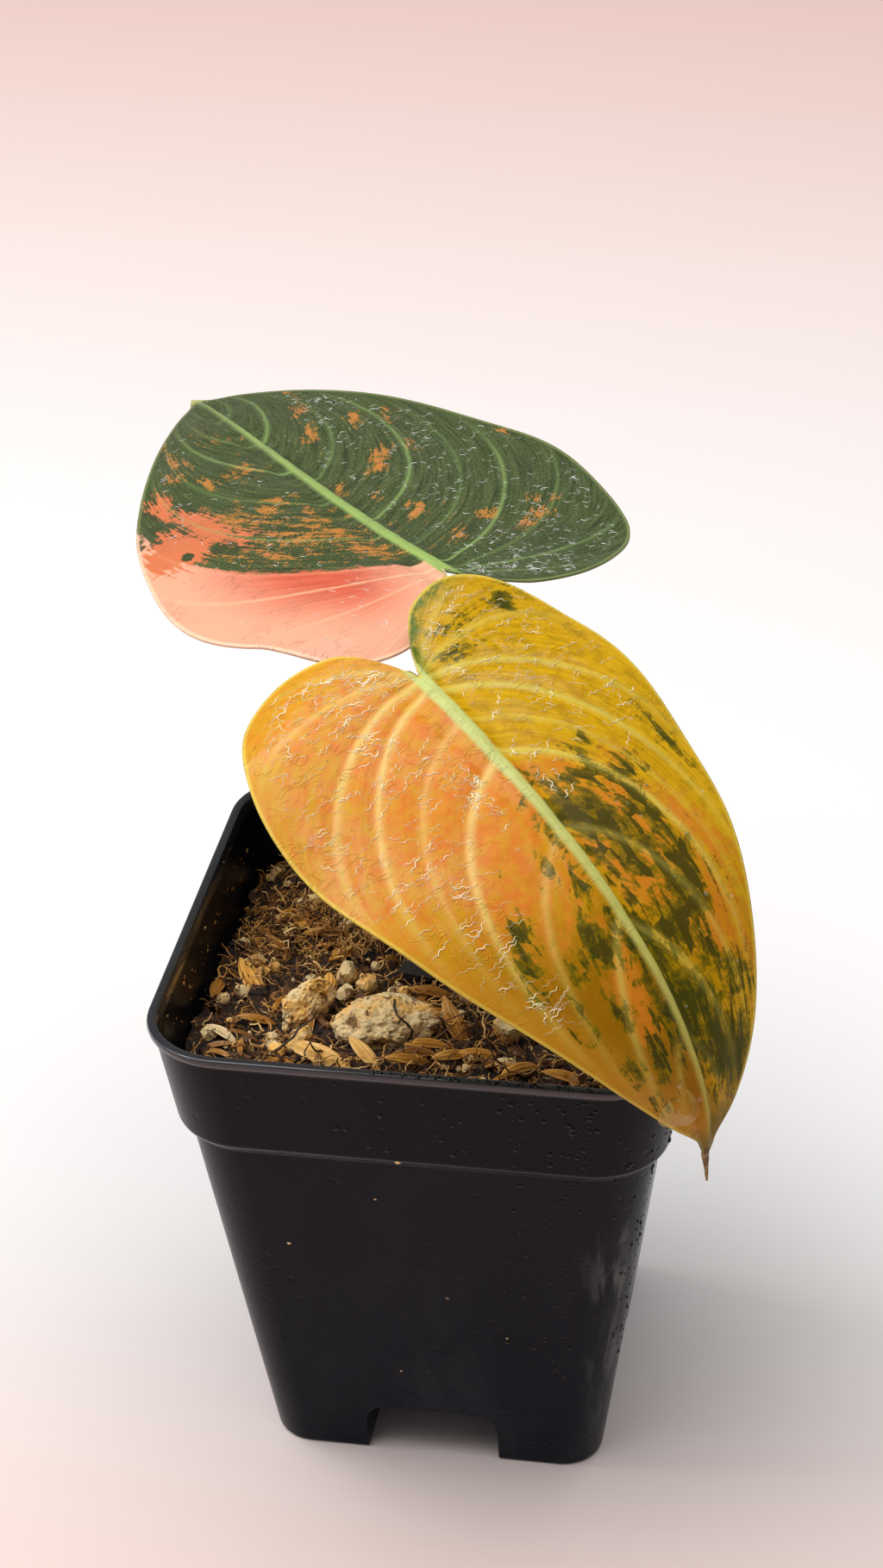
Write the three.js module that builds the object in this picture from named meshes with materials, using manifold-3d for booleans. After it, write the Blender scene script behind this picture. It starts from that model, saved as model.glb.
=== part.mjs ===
// A young philodendron melanochrysum in a square nursery pot: a tapered pot with a collar and
// four feet, a coarse potting mix with rice hulls and grains, two pumice stones, one stem with
// two petioles, and two heart-shaped leaves.
// Millimetres, +Z up. Sizes are measured from the middle of the pot's base; the finished group
// is then moved so that its origin is the middle of its own box at the height of the surface.

import * as THREE from "three";
import { mergeVertices } from "three/addons/utils/BufferGeometryUtils.js";
import Module from "manifold-3d";

const wasm = await Module();
wasm.setup();

// Clearance between two pieces that rest against each other.
const GAP = 0.3;
// Cutting solids start this far below the pot and end as far above its rim.
const PAST = 5;

// Pot: width across the flats and corner radius at each height, from the feet to the rim.
const POT_HEIGHT = 91;
const POT_WALL = 1.2;
const SHOULDER_LIFT = 0.6;
const POT_LEVELS = [
  { z: 0, width: 55.5, radius: 6.3 },
  { z: 0.6, width: 56.9, radius: 6.9 },
  { z: 69.5, width: 76.9, radius: 10.4 },
  { z: 71.5, width: 81.0, radius: 12.2 },
  { z: 89.5, width: 86.3, radius: 13.0 },
];
const LIP = { bottom: 89.5, width: 88, radius: 13.3, thickness: 1.75 };
const CORNER_STEPS = 5;

// Cross-shaped channel beneath the pot, which leaves a foot at each corner, and the drain holes.
const CHANNEL = { halfWidth: 11.4, height: 10.7, radius: 4 };
const FOOT_FLOOR = 1.2;
const DRAIN = { radius: 3.2, reach: 18 };

// Potting mix: its level at the middle of the pot and its slopes along X and Y.
const MIX = { level: 80.8, slopeX: 0.045, slopeY: -0.05, relief: 0.8, cells: 16 };
const HULLS = { count: 38, length: [8.5, 12], width: 3.2, thickness: 2.4 };
const GRAINS = { count: 26, radius: [1.1, 2.1] };
const FIBRES = { count: 8, length: [10, 17], radius: 0.45 };
const WALL_MARGIN = 5;
const SETTLED_TILT = 0.6;

// Pumice stones: half sizes along X, Y and Z, and places. Each is rounded, with a few blunt knobs.
const STONE_KNOBS = { count: 9, height: 0.17, sharpness: 5, core: 0.87 };
const STONES = [
  { name: "pumice_large", half: [8.7, 5.6, 4.6], centre: [-7.4, -18.2, 82.6], turn: 0.1, seed: 11 },
  { name: "pumice_small", half: [4.0, 3.4, 4.6], centre: [-21.6, -14.6, 82.4], turn: 0.5, seed: 23 },
];

// Stem: a short upright axis that stands in a plain hole in the mix.
const STEM = { foot: [2, 4, 62], top: [2, 4, 93], radius: 3.4, sides: 12 };
const PETIOLE = { baseRadius: 2.3, tipRadius: 1.25, sides: 10, steps: 22, straight: 7, sunk: 2 };

// Leaf blade: right half of the outline, with the petiole junction at the origin and the tip at
// one leaf length along Y, in leaf lengths.
const HALF_OUTLINE = [
  [0, 0],
  [0.028, -0.065],
  [0.085, -0.125],
  [0.17, -0.145],
  [0.26, -0.105],
  [0.325, -0.015],
  [0.352, 0.1],
  [0.345, 0.26],
  [0.302, 0.44],
  [0.232, 0.61],
  [0.148, 0.77],
  [0.068, 0.89],
  [0.022, 0.945],
  [0.01, 0.975],
  [0, 1],
];
const BLADE = { thickness: 0.7, halfSteps: 30, hub: 0.3, rings: [0.2, 0.4, 0.6, 0.78, 0.91, 1] };

// Midrib: it is part of the blade, and at the junction it turns down into a short stub.
const MIDRIB = { baseRadius: 1.5, tipRadius: 0.35, sides: 8, start: 0.03, end: 0.95, sunk: 0.35 };
const STUB = { end: [0, -2, -5.5], bend: [0, -1.6, -2.75] };

// Each leaf: junction and length in millimetres; heading, pitch and roll in degrees. The blade
// bends down along its midrib by bend[0] * v + bend[1] * v * v radians, v running from 0 at the
// junction to 1 at the tip. Each side has a width factor, a rise, a cup and a lift of its lobe.
const LEAVES = [
  {
    name: "leaf_front",
    junction: [1.1, -25.2, 152.5],
    length: 93.7,
    heading: -129.5,
    pitch: -22,
    roll: 2.8,
    bend: [0.04, 1.42],
    right: { width: 1.01, rise: -0.11, cup: 0.48, lobe: -1.28 },
    left: { width: 1.0, rise: 0.03, cup: 0.36, lobe: 0.41 },
    sweep: -0.055,
    twist: -0.03,
    waves: { height: 0.8, count: 2.6, phase: 0.4 },
    petiole: [[1, -3, 108], [-0.5, -14, 130]],
  },
  {
    name: "leaf_back",
    junction: [-1, 9.4, 152.5],
    length: 99,
    heading: 45.8,
    pitch: -2.6,
    roll: 23.7,
    bend: [-0.21, 0.31],
    right: { width: 1.055, rise: 0.35, cup: -0.12, lobe: 0.18 },
    left: { width: 0.99, rise: -0.23, cup: 0.8, lobe: -1.16 },
    sweep: 0.18,
    twist: 0.24,
    waves: { height: 0.6, count: 2.2, phase: 3.4 },
    petiole: [[-0.5, 4.5, 108], [-3.5, 5.5, 130]],
  },
];

const COLOURS = {
  pot: { color: 0x26262a, roughness: 0.55 },
  mix: { color: 0x4a3320, roughness: 0.95 },
  stone: { color: 0xa39a8c, roughness: 0.95 },
  stem: { color: 0x6f8f45, roughness: 0.5 },
  leaf: { color: 0xb98a45, roughness: 0.4 },
};

// Seeded random numbers between 0 and 1, so that every build is the same.
function seeded(seed) {
  let state = seed;
  return () => {
    state = (state + 0x6d2b79f5) | 0;
    let mixed = Math.imul(state ^ (state >>> 15), 1 | state);
    mixed = (mixed + Math.imul(mixed ^ (mixed >>> 7), 61 | mixed)) ^ mixed;
    return ((mixed ^ (mixed >>> 14)) >>> 0) / 4294967296;
  };
}

function between(random, [low, high]) {
  return low + (high - low) * random();
}

// Closed geometries and solids

function toSolid(geometry) {
  const bare = geometry.index ? geometry.clone() : geometry;
  bare.deleteAttribute("normal");
  bare.deleteAttribute("uv");
  const merged = mergeVertices(bare, 1e-4);
  return new wasm.Manifold(new wasm.Mesh({
    numProp: 3,
    vertProperties: new Float32Array(merged.attributes.position.array),
    triVerts: new Uint32Array(merged.index.array),
  }));
}

function toGeometry(solid) {
  const mesh = solid.getMesh();
  const geometry = new THREE.BufferGeometry();
  geometry.setAttribute("position", new THREE.BufferAttribute(mesh.vertProperties, 3));
  geometry.setIndex(new THREE.BufferAttribute(mesh.triVerts, 1));
  geometry.computeVertexNormals();
  return geometry;
}

// A closed skin over rings of equal length, each running anticlockwise seen from the last ring.
function loft(rings) {
  const corners = [];
  const count = rings[0].length;
  for (let level = 0; level + 1 < rings.length; level += 1) {
    for (let i = 0; i < count; i += 1) {
      const next = (i + 1) % count;
      corners.push(rings[level][i], rings[level][next], rings[level + 1][next]);
      corners.push(rings[level][i], rings[level + 1][next], rings[level + 1][i]);
    }
  }
  for (const [ring, flip] of [[rings[0], true], [rings[rings.length - 1], false]]) {
    const middle = ring.reduce((sum, point) => sum.add(point), new THREE.Vector3()).divideScalar(count);
    for (let i = 0; i < count; i += 1) {
      const next = (i + 1) % count;
      corners.push(middle, ring[flip ? next : i], ring[flip ? i : next]);
    }
  }
  return new THREE.BufferGeometry().setFromPoints(corners);
}

// A round tube along a curve, its radius given at each fraction of the way.
function taperedTube(curve, radiusAt, steps, sides) {
  const frames = curve.computeFrenetFrames(steps, false);
  const rings = [];
  for (let step = 0; step <= steps; step += 1) {
    const centre = curve.getPointAt(step / steps);
    const radius = radiusAt(step / steps);
    const ring = [];
    for (let side = 0; side < sides; side += 1) {
      const angle = (side / sides) * 2 * Math.PI;
      const point = centre.clone();
      point.addScaledVector(frames.normals[step], radius * Math.cos(angle));
      point.addScaledVector(frames.binormals[step], radius * Math.sin(angle));
      ring.push(point);
    }
    rings.push(ring);
  }
  return loft(rings);
}

function vectors(list) {
  return list.map((place) => new THREE.Vector3(...place));
}

// Pot

function squareRing({ z, width, radius }, inset = 0) {
  const points = [];
  const round = Math.max(radius - inset, 0.5);
  const reach = width / 2 - inset - round;
  for (let corner = 0; corner < 4; corner += 1) {
    const start = (corner * Math.PI) / 2;
    const centreX = reach * Math.SQRT2 * Math.cos(start + Math.PI / 4);
    const centreY = reach * Math.SQRT2 * Math.sin(start + Math.PI / 4);
    for (let step = 0; step <= CORNER_STEPS; step += 1) {
      const angle = start + ((step / CORNER_STEPS) * Math.PI) / 2;
      const x = centreX + round * Math.cos(angle);
      const y = centreY + round * Math.sin(angle);
      points.push(new THREE.Vector3(x, y, z));
    }
  }
  return points;
}

function potOutside() {
  const lipBottom = { z: LIP.bottom, width: LIP.width, radius: LIP.radius };
  const levels = [...POT_LEVELS, lipBottom, { ...lipBottom, z: POT_HEIGHT }];
  return toSolid(loft(levels.map((level) => squareRing(level))));
}

// The space inside the walls, from the floor of the feet to above the rim, shrunk by a clearance.
function potInside(clearance) {
  const inset = POT_WALL + clearance;
  const [, foot, shoulderBottom, shoulderTop, top] = POT_LEVELS;
  const rings = [
    squareRing({ ...foot, z: FOOT_FLOOR + clearance }, inset),
    squareRing({ ...shoulderBottom, z: shoulderBottom.z + SHOULDER_LIFT }, inset),
    squareRing({ ...shoulderTop, z: shoulderTop.z + SHOULDER_LIFT }, inset),
    squareRing(top, inset),
    squareRing({ ...LIP, z: POT_HEIGHT }, LIP.thickness + clearance),
    squareRing({ ...LIP, z: POT_HEIGHT + PAST }, LIP.thickness + clearance),
  ];
  return toSolid(loft(rings)).subtract(channels(POT_WALL + clearance));
}

// Two crossing bars with rounded upper edges: the channel, or with a wall its covering.
function channels(wall) {
  const half = CHANNEL.halfWidth + wall;
  const top = CHANNEL.height + wall;
  const round = CHANNEL.radius + wall;
  const profile = new THREE.Shape();
  profile.moveTo(-half, -PAST);
  profile.lineTo(half, -PAST);
  profile.lineTo(half, top - round);
  profile.absarc(half - round, top - round, round, 0, Math.PI / 2);
  profile.absarc(round - half, top - round, round, Math.PI / 2, Math.PI);
  const options = { depth: LIP.width, bevelEnabled: false, curveSegments: 5 };
  const bar = new THREE.ExtrudeGeometry(profile, options);
  bar.translate(0, 0, -LIP.width / 2);
  bar.rotateX(Math.PI / 2);
  const alongY = toSolid(bar);
  const alongX = toSolid(bar.clone().rotateZ(Math.PI / 2));
  return alongY.add(alongX);
}

function drainHoles() {
  const holes = [[0, 0], [DRAIN.reach, 0], [-DRAIN.reach, 0], [0, DRAIN.reach], [0, -DRAIN.reach]];
  return holes.map(([x, y]) => {
    const hole = new THREE.CylinderGeometry(DRAIN.radius, DRAIN.radius, 2 * CHANNEL.height, 16);
    hole.rotateX(Math.PI / 2);
    hole.translate(x, y, CHANNEL.height);
    return toSolid(hole);
  });
}

function makePot() {
  const shell = potOutside().subtract(potInside(0)).subtract(channels(0));
  return shell.subtract(wasm.Manifold.union(drainHoles()));
}

// Stones

function stoneSolid(stone, clearance) {
  const random = seeded(stone.seed);
  const knobs = Array.from({ length: STONE_KNOBS.count }, () => {
    const knob = new THREE.Vector3(random() - 0.5, random() - 0.5, random() - 0.5);
    return knob.normalize();
  });
  const { height, sharpness, core } = STONE_KNOBS;
  const geometry = new THREE.IcosahedronGeometry(1, 3);
  const place = geometry.attributes.position;
  const point = new THREE.Vector3();
  for (let i = 0; i < place.count; i += 1) {
    point.fromBufferAttribute(place, i).normalize();
    const bumps = knobs.map((knob) => height * Math.max(0, point.dot(knob)) ** sharpness);
    const scale = core + Math.max(...bumps);
    point.set(...stone.half.map((half, axis) => (half * scale + clearance) * point.getComponent(axis)));
    place.setXYZ(i, point.x, point.y, point.z);
  }
  geometry.rotateZ(stone.turn);
  geometry.translate(...stone.centre);
  return toSolid(geometry);
}

// Potting mix

function mixHeight(x, y) {
  const slope = MIX.level + MIX.slopeX * x + MIX.slopeY * y;
  const coarse = Math.sin(x * 0.31 + 1.3) * Math.sin(y * 0.27 + 0.4);
  const fine = Math.sin(x * 0.83 + y * 0.35) * Math.sin(y * 0.71 - x * 0.22 + 2);
  return slope + MIX.relief * (0.7 * coarse + 0.6 * fine);
}

function mixGround() {
  const width = LIP.width + 4;
  const ground = new THREE.BoxGeometry(width, width, 1, MIX.cells, MIX.cells, 1);
  const place = ground.attributes.position;
  for (let i = 0; i < place.count; i += 1) {
    const upper = place.getZ(i) > 0;
    place.setZ(i, upper ? mixHeight(place.getX(i), place.getY(i)) : -PAST);
  }
  return toSolid(ground);
}

// A seeded place on the mix, clear of the walls, the stem and the stones.
function freePlace(random) {
  const reach = LIP.width / 2 - POT_WALL - WALL_MARGIN;
  for (;;) {
    const x = between(random, [-reach, reach]);
    const y = between(random, [-reach, reach]);
    const keepsOff = (centre, distance) => Math.hypot(x - centre[0], y - centre[1]) > distance;
    const clearOfStones = STONES.every((stone) => keepsOff(stone.centre, stone.half[0] + 1.5));
    if (keepsOff(STEM.foot, STEM.radius + 4) && clearOfStones) {
      return [x, y];
    }
  }
}

// Turns a small piece at random and sets it on the mix, its middle raised by the lift.
function settled(geometry, random, lift) {
  const [x, y] = freePlace(random);
  geometry.rotateX((random() - 0.5) * SETTLED_TILT);
  geometry.rotateY((random() - 0.5) * SETTLED_TILT);
  geometry.rotateZ(random() * 2 * Math.PI);
  geometry.translate(x, y, mixHeight(x, y) + lift);
  return toSolid(geometry);
}

// A rice hull is a pointed boat shape, half sunk in the mix.
function makeHulls() {
  const random = seeded(5);
  return Array.from({ length: HULLS.count }, () => {
    const hull = new THREE.OctahedronGeometry(0.5, 1);
    hull.scale(between(random, HULLS.length), HULLS.width, HULLS.thickness);
    return settled(hull, random, 0.4 * HULLS.thickness);
  });
}

function makeGrains() {
  const random = seeded(17);
  return Array.from({ length: GRAINS.count }, () => {
    const grain = new THREE.IcosahedronGeometry(between(random, GRAINS.radius), 0);
    return settled(grain, random, 0.3);
  });
}

// A fibre is a low arch with both ends in the mix.
function makeFibres() {
  const random = seeded(29);
  return Array.from({ length: FIBRES.count }, () => {
    const half = between(random, FIBRES.length) / 2;
    const sway = (random() - 0.5) * half;
    const arch = new THREE.CatmullRomCurve3(vectors([[-half, 0, -1.2], [0, sway, 1.3], [half, 0, -1.2]]));
    return settled(taperedTube(arch, () => FIBRES.radius, 6, 5), random, 0);
  });
}

function stemHole() {
  const [x, y] = STEM.foot;
  const depth = POT_HEIGHT - STEM.foot[2] + 2 * GAP;
  const radius = STEM.radius + 2 * GAP;
  const hole = new THREE.CylinderGeometry(radius, radius, depth, 20);
  hole.rotateX(Math.PI / 2);
  hole.translate(x, y, POT_HEIGHT - depth / 2);
  return toSolid(hole);
}

function makeMix() {
  const grown = wasm.Manifold.union([mixGround(), ...makeHulls(), ...makeGrains(), ...makeFibres()]);
  const cutters = [stemHole(), ...STONES.map((stone) => stoneSolid(stone, GAP))];
  return largestPiece(grown.intersect(potInside(GAP)).subtract(wasm.Manifold.union(cutters)));
}

function largestPiece(solid) {
  const pieces = solid.decompose();
  return pieces.sort((a, b) => b.volume() - a.volume())[0];
}

// Leaves

// The midrib's forward reach, drop and slope at a fraction v of its length, in leaf lengths.
function spineAt(leaf, v) {
  const slope = (at) => leaf.bend[0] * at + leaf.bend[1] * at * at;
  const steps = 24;
  let forward = 0;
  let drop = 0;
  for (let step = 0; step < steps; step += 1) {
    const middle = ((step + 0.5) / steps) * v;
    forward += (Math.cos(slope(middle)) * v) / steps;
    drop += (Math.sin(slope(middle)) * v) / steps;
  }
  return { forward, drop, slope: slope(v) };
}

// A point of the bent upper face, from flat coordinates in leaf lengths.
function bladePoint(leaf, across, along) {
  const side = across > 0 ? leaf.right : leaf.left;
  const v = THREE.MathUtils.clamp(along, 0, 1);
  const spine = spineAt(leaf, v);
  const x = across * side.width;
  const reach = Math.abs(x);
  const behind = Math.min(along, 0);
  const wave = Math.sin(2 * Math.PI * leaf.waves.count * v + leaf.waves.phase + Math.sign(across));
  const rise =
    side.rise * reach -
    side.cup * reach * reach +
    10 * side.lobe * behind * behind * reach +
    leaf.twist * v * x +
    (leaf.waves.height / leaf.length) * (reach / 0.35) ** 3 * wave;
  return new THREE.Vector3(
    x + leaf.sweep * v * v,
    spine.forward + behind + rise * Math.sin(spine.slope),
    rise * Math.cos(spine.slope) - spine.drop,
  ).multiplyScalar(leaf.length);
}

// A point of the lower face, one blade thickness inward from the upper face.
function undersidePoint(leaf, across, along, depth) {
  const step = 0.004;
  const side = across < 0 ? -step : step;
  const point = bladePoint(leaf, across, along);
  const alongX = bladePoint(leaf, across + side, along).sub(point).divideScalar(side);
  const alongY = bladePoint(leaf, across, along + step).sub(bladePoint(leaf, across, along - step));
  const normal = alongX.cross(alongY).normalize();
  if (Math.abs(across) < step) {
    normal.setX(0).normalize();
  }
  return point.addScaledVector(normal, -depth);
}

// Flat outline from the junction round the right side to the tip and back up the left side.
function bladeOutline() {
  const half = new THREE.SplineCurve(HALF_OUTLINE.map(([x, y]) => new THREE.Vector2(x, y)));
  const right = half.getPoints(BLADE.halfSteps);
  const left = right.slice(1, -1).reverse().map((point) => new THREE.Vector2(-point.x, point.y));
  return [...right, ...left];
}

function bladeSolid(leaf) {
  const hub = new THREE.Vector2(0, BLADE.hub);
  const outline = bladeOutline();
  const flatRings = BLADE.rings.map((share) => outline.map((point) => hub.clone().lerp(point, share)));
  const upperRings = flatRings.map((ring) => ring.map((flat) => bladePoint(leaf, flat.x, flat.y)));
  const lowerRings = flatRings.map((ring) =>
    ring.map((flat) => undersidePoint(leaf, flat.x, flat.y, BLADE.thickness)));
  const corners = [];
  const addFaces = (a, b, c, lowerA, lowerB, lowerC) => corners.push(a, b, c, lowerA, lowerC, lowerB);
  const upperHub = bladePoint(leaf, 0, BLADE.hub);
  const lowerHub = undersidePoint(leaf, 0, BLADE.hub, BLADE.thickness);
  for (let i = 0; i < outline.length; i += 1) {
    const next = (i + 1) % outline.length;
    addFaces(
      upperHub, upperRings[0][i], upperRings[0][next],
      lowerHub, lowerRings[0][i], lowerRings[0][next],
    );
    for (let ring = 0; ring + 1 < flatRings.length; ring += 1) {
      const [upperIn, upperOut] = [upperRings[ring], upperRings[ring + 1]];
      const [lowerIn, lowerOut] = [lowerRings[ring], lowerRings[ring + 1]];
      addFaces(upperIn[i], upperOut[i], upperOut[next], lowerIn[i], lowerOut[i], lowerOut[next]);
      addFaces(upperIn[i], upperOut[next], upperIn[next], lowerIn[i], lowerOut[next], lowerIn[next]);
    }
    const [upperEdge, lowerEdge] = [upperRings.at(-1), lowerRings.at(-1)];
    corners.push(upperEdge[i], lowerEdge[i], lowerEdge[next]);
    corners.push(upperEdge[i], lowerEdge[next], upperEdge[next]);
  }
  return toSolid(new THREE.BufferGeometry().setFromPoints(corners));
}

// The midrib stands out of the lower face and turns down at the junction to meet the petiole.
function midribSolid(leaf) {
  const places = vectors([STUB.end, STUB.bend]);
  const radiusAt = (share) => THREE.MathUtils.lerp(MIDRIB.baseRadius, MIDRIB.tipRadius, share);
  const spacing = 0.08;
  for (let v = MIDRIB.start; v <= MIDRIB.end; v += spacing) {
    places.push(undersidePoint(leaf, 0, v, MIDRIB.sunk + 0.5 * radiusAt(v)));
  }
  const rib = taperedTube(new THREE.CatmullRomCurve3(places), radiusAt, 20, MIDRIB.sides);
  return toSolid(rib);
}

function makeLeaf(leaf) {
  return bladeSolid(leaf).add(midribSolid(leaf));
}

// Turns a leaf's own frame, +Y to the tip and +Z out of the upper face, into the pot's frame.
function leafPlacement(leaf) {
  const { degToRad } = THREE.MathUtils;
  const turn = new THREE.Euler(degToRad(leaf.pitch), degToRad(leaf.roll), degToRad(leaf.heading), "ZYX");
  const place = new THREE.Vector3(...leaf.junction);
  const size = new THREE.Vector3(1, 1, 1);
  return new THREE.Matrix4().compose(place, new THREE.Quaternion().setFromEuler(turn), size);
}

// Stem and petioles

// A petiole rises out of the stem's top and ends one clearance short of the midrib's stub.
function petioleSolid(leaf) {
  const placement = leafPlacement(leaf);
  const [end, bend] = vectors([STUB.end, STUB.bend]);
  const onward = end.clone().sub(bend).normalize();
  const meeting = end.clone().addScaledVector(onward, GAP);
  const approach = meeting.clone().addScaledVector(onward, PETIOLE.straight);
  const root = new THREE.Vector3(...STEM.top);
  root.z -= PETIOLE.sunk;
  const places = [
    root,
    ...vectors(leaf.petiole),
    approach.applyMatrix4(placement),
    meeting.applyMatrix4(placement),
  ];
  const radiusAt = (share) => THREE.MathUtils.lerp(PETIOLE.baseRadius, PETIOLE.tipRadius, Math.sqrt(share));
  return toSolid(taperedTube(new THREE.CatmullRomCurve3(places), radiusAt, PETIOLE.steps, PETIOLE.sides));
}

function makeStem() {
  const axis = new THREE.LineCurve3(...vectors([STEM.foot, STEM.top]));
  const radiusAt = (share) => STEM.radius * Math.min(1, 3.4 * (1 - share) + 0.62);
  const stem = toSolid(taperedTube(axis, radiusAt, 14, STEM.sides));
  return wasm.Manifold.union([stem, ...LEAVES.map(petioleSolid)]);
}

// Scene graph

function named(name, solid, { color, roughness }) {
  const mesh = new THREE.Mesh(toGeometry(solid), new THREE.MeshStandardMaterial({ color, roughness }));
  mesh.name = name;
  return mesh;
}

const group = new THREE.Group();
group.name = "potted_philodendron";
group.add(named("pot", makePot(), COLOURS.pot));
group.add(named("potting_mix", makeMix(), COLOURS.mix));
for (const stone of STONES) {
  group.add(named(stone.name, stoneSolid(stone, 0), COLOURS.stone));
}
group.add(named("stem_and_petioles", makeStem(), COLOURS.stem));
for (const leaf of LEAVES) {
  const mesh = named(leaf.name, makeLeaf(leaf), COLOURS.leaf);
  mesh.applyMatrix4(leafPlacement(leaf));
  group.add(mesh);
}

const box = new THREE.Box3().setFromObject(group, true);
const middle = box.getCenter(new THREE.Vector3());
group.position.set(-middle.x, -middle.y, -box.min.z);

export default group;
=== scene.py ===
# %% [markdown]
# # A potted philodendron
# A young variegated philodendron stands in a square black nursery pot. Two heart-shaped leaves
# hang from upright petioles over a coarse mix of coir, rice hulls and pumice.
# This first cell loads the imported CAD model. Its nodes give every piece its place, and each
# piece made here covers one of them.

import math
import random

import bmesh
import bpy
from mathutils import Euler, Matrix, Vector, bvhtree, kdtree, noise


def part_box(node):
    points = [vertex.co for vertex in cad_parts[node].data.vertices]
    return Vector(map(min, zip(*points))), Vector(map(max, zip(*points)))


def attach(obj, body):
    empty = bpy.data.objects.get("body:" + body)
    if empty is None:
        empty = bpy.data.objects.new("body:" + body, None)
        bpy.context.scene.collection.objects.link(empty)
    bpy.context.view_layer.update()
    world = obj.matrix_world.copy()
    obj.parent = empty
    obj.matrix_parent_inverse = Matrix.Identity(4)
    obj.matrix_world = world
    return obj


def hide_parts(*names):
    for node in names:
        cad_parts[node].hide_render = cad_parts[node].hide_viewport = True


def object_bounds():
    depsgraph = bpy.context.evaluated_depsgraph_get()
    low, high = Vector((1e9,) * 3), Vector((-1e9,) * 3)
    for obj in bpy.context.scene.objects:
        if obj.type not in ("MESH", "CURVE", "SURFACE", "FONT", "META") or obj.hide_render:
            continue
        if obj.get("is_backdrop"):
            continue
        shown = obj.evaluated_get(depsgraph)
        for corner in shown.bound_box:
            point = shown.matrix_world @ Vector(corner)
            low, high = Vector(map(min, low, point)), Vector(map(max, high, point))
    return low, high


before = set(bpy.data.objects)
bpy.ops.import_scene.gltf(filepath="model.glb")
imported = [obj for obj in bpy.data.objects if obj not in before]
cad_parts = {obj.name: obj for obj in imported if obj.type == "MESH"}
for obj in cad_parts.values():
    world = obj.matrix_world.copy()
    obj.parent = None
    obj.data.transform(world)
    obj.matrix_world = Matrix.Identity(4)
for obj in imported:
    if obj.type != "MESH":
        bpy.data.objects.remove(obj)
cad_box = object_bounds()

MM = 0.001
pot_low, pot_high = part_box("pot")
HOME = Vector(((pot_low.x + pot_high.x) / 2, (pot_low.y + pot_high.y) / 2, 0))
print("pot stands at", [round(value / MM, 2) for value in HOME])


def at(x, y, z):
    """A place given in millimetres from the middle of the pot's foot."""
    return HOME + Vector((x, y, z)) * MM


# %% [markdown]
# ## Camera
# The camera looks down at the pot from the front, a little from the right. Its direction and
# distance come from the straight edges of the pot, whose shape is known. The three axes are
# worked out as vectors, which keeps the small roll of a hand-held camera.

# %% Camera
def add_object(name, data):
    """A new object with this data, in the scene."""
    new = bpy.data.objects.new(name, data)
    bpy.context.scene.collection.objects.link(new)
    return new


AZIMUTH, ELEVATION, ROLL = (math.radians(angle) for angle in (10.67, 31.33, -1.62))
DISTANCE = 603.15 * MM
LOOK_AT = at(-1.01, 1.81, 116.97)
LENS, FILM_WIDTH = 84.88, 36

backward = Vector((
    math.sin(AZIMUTH) * math.cos(ELEVATION),
    -math.cos(AZIMUTH) * math.cos(ELEVATION),
    math.sin(ELEVATION),
))
level_right = (-backward).cross(Vector((0, 0, 1))).normalized()
level_up = backward.cross(level_right)
camera_right = level_right * math.cos(ROLL) + level_up * math.sin(ROLL)
camera_up = level_up * math.cos(ROLL) - level_right * math.sin(ROLL)

camera = add_object("camera", bpy.data.cameras.new("camera"))
camera.data.lens, camera.data.sensor_width = LENS, FILM_WIDTH
camera.data.clip_start = 10 * MM
camera.matrix_world = Matrix.Translation(LOOK_AT + backward * DISTANCE) @ Matrix(
    (camera_right, camera_up, backward)).transposed().to_4x4()
bpy.context.scene.camera = camera
bpy.context.scene.view_settings.view_transform = "Standard"
print("camera is", round(DISTANCE / MM), "mm from the point it looks at")

# %% [markdown]
# ## Shader nodes as arithmetic
# A procedural material is a formula, so it is easier to read as one. `Wire` wraps the output of
# a node, and adding or multiplying wires puts in Math nodes. `Finish` holds one material, and
# its `add` makes any other node from its type, its settings and its inputs.


# %% Wires and finishes
class Wire:
    """A value that runs between shader nodes. Arithmetic on it adds Math nodes."""

    def __init__(self, finish, socket):
        self.finish = finish
        self.socket = socket

    def maths(self, operation, first, second):
        return self.finish.add("ShaderNodeMath", {"operation": operation}, {0: first, 1: second})

    def __add__(self, other):
        return self.maths("ADD", self, other)

    def __radd__(self, other):
        return self.maths("ADD", other, self)

    def __sub__(self, other):
        return self.maths("SUBTRACT", self, other)

    def __rsub__(self, other):
        return self.maths("SUBTRACT", other, self)

    def __mul__(self, other):
        return self.maths("MULTIPLY", self, other)

    def __rmul__(self, other):
        return self.maths("MULTIPLY", other, self)

    def size(self):
        return self.maths("ABSOLUTE", self, 0.0)

    def at_least(self, other):
        return self.maths("MAXIMUM", self, other)

    def swing(self, amount):
        """Noise that lies about 0.5, as a change of at most half the amount either way."""
        return (self - 0.5) * amount

    def step(self, start, end):
        """0 below start, 1 past end, with a soft step between; start may lie above end."""
        settings = {"interpolation_type": "SMOOTHSTEP"}
        ends = {0: self, 1: min(start, end), 2: max(start, end)}
        risen = self.finish.add("ShaderNodeMapRange", settings, ends)
        return risen if start < end else 1 - risen


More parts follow.
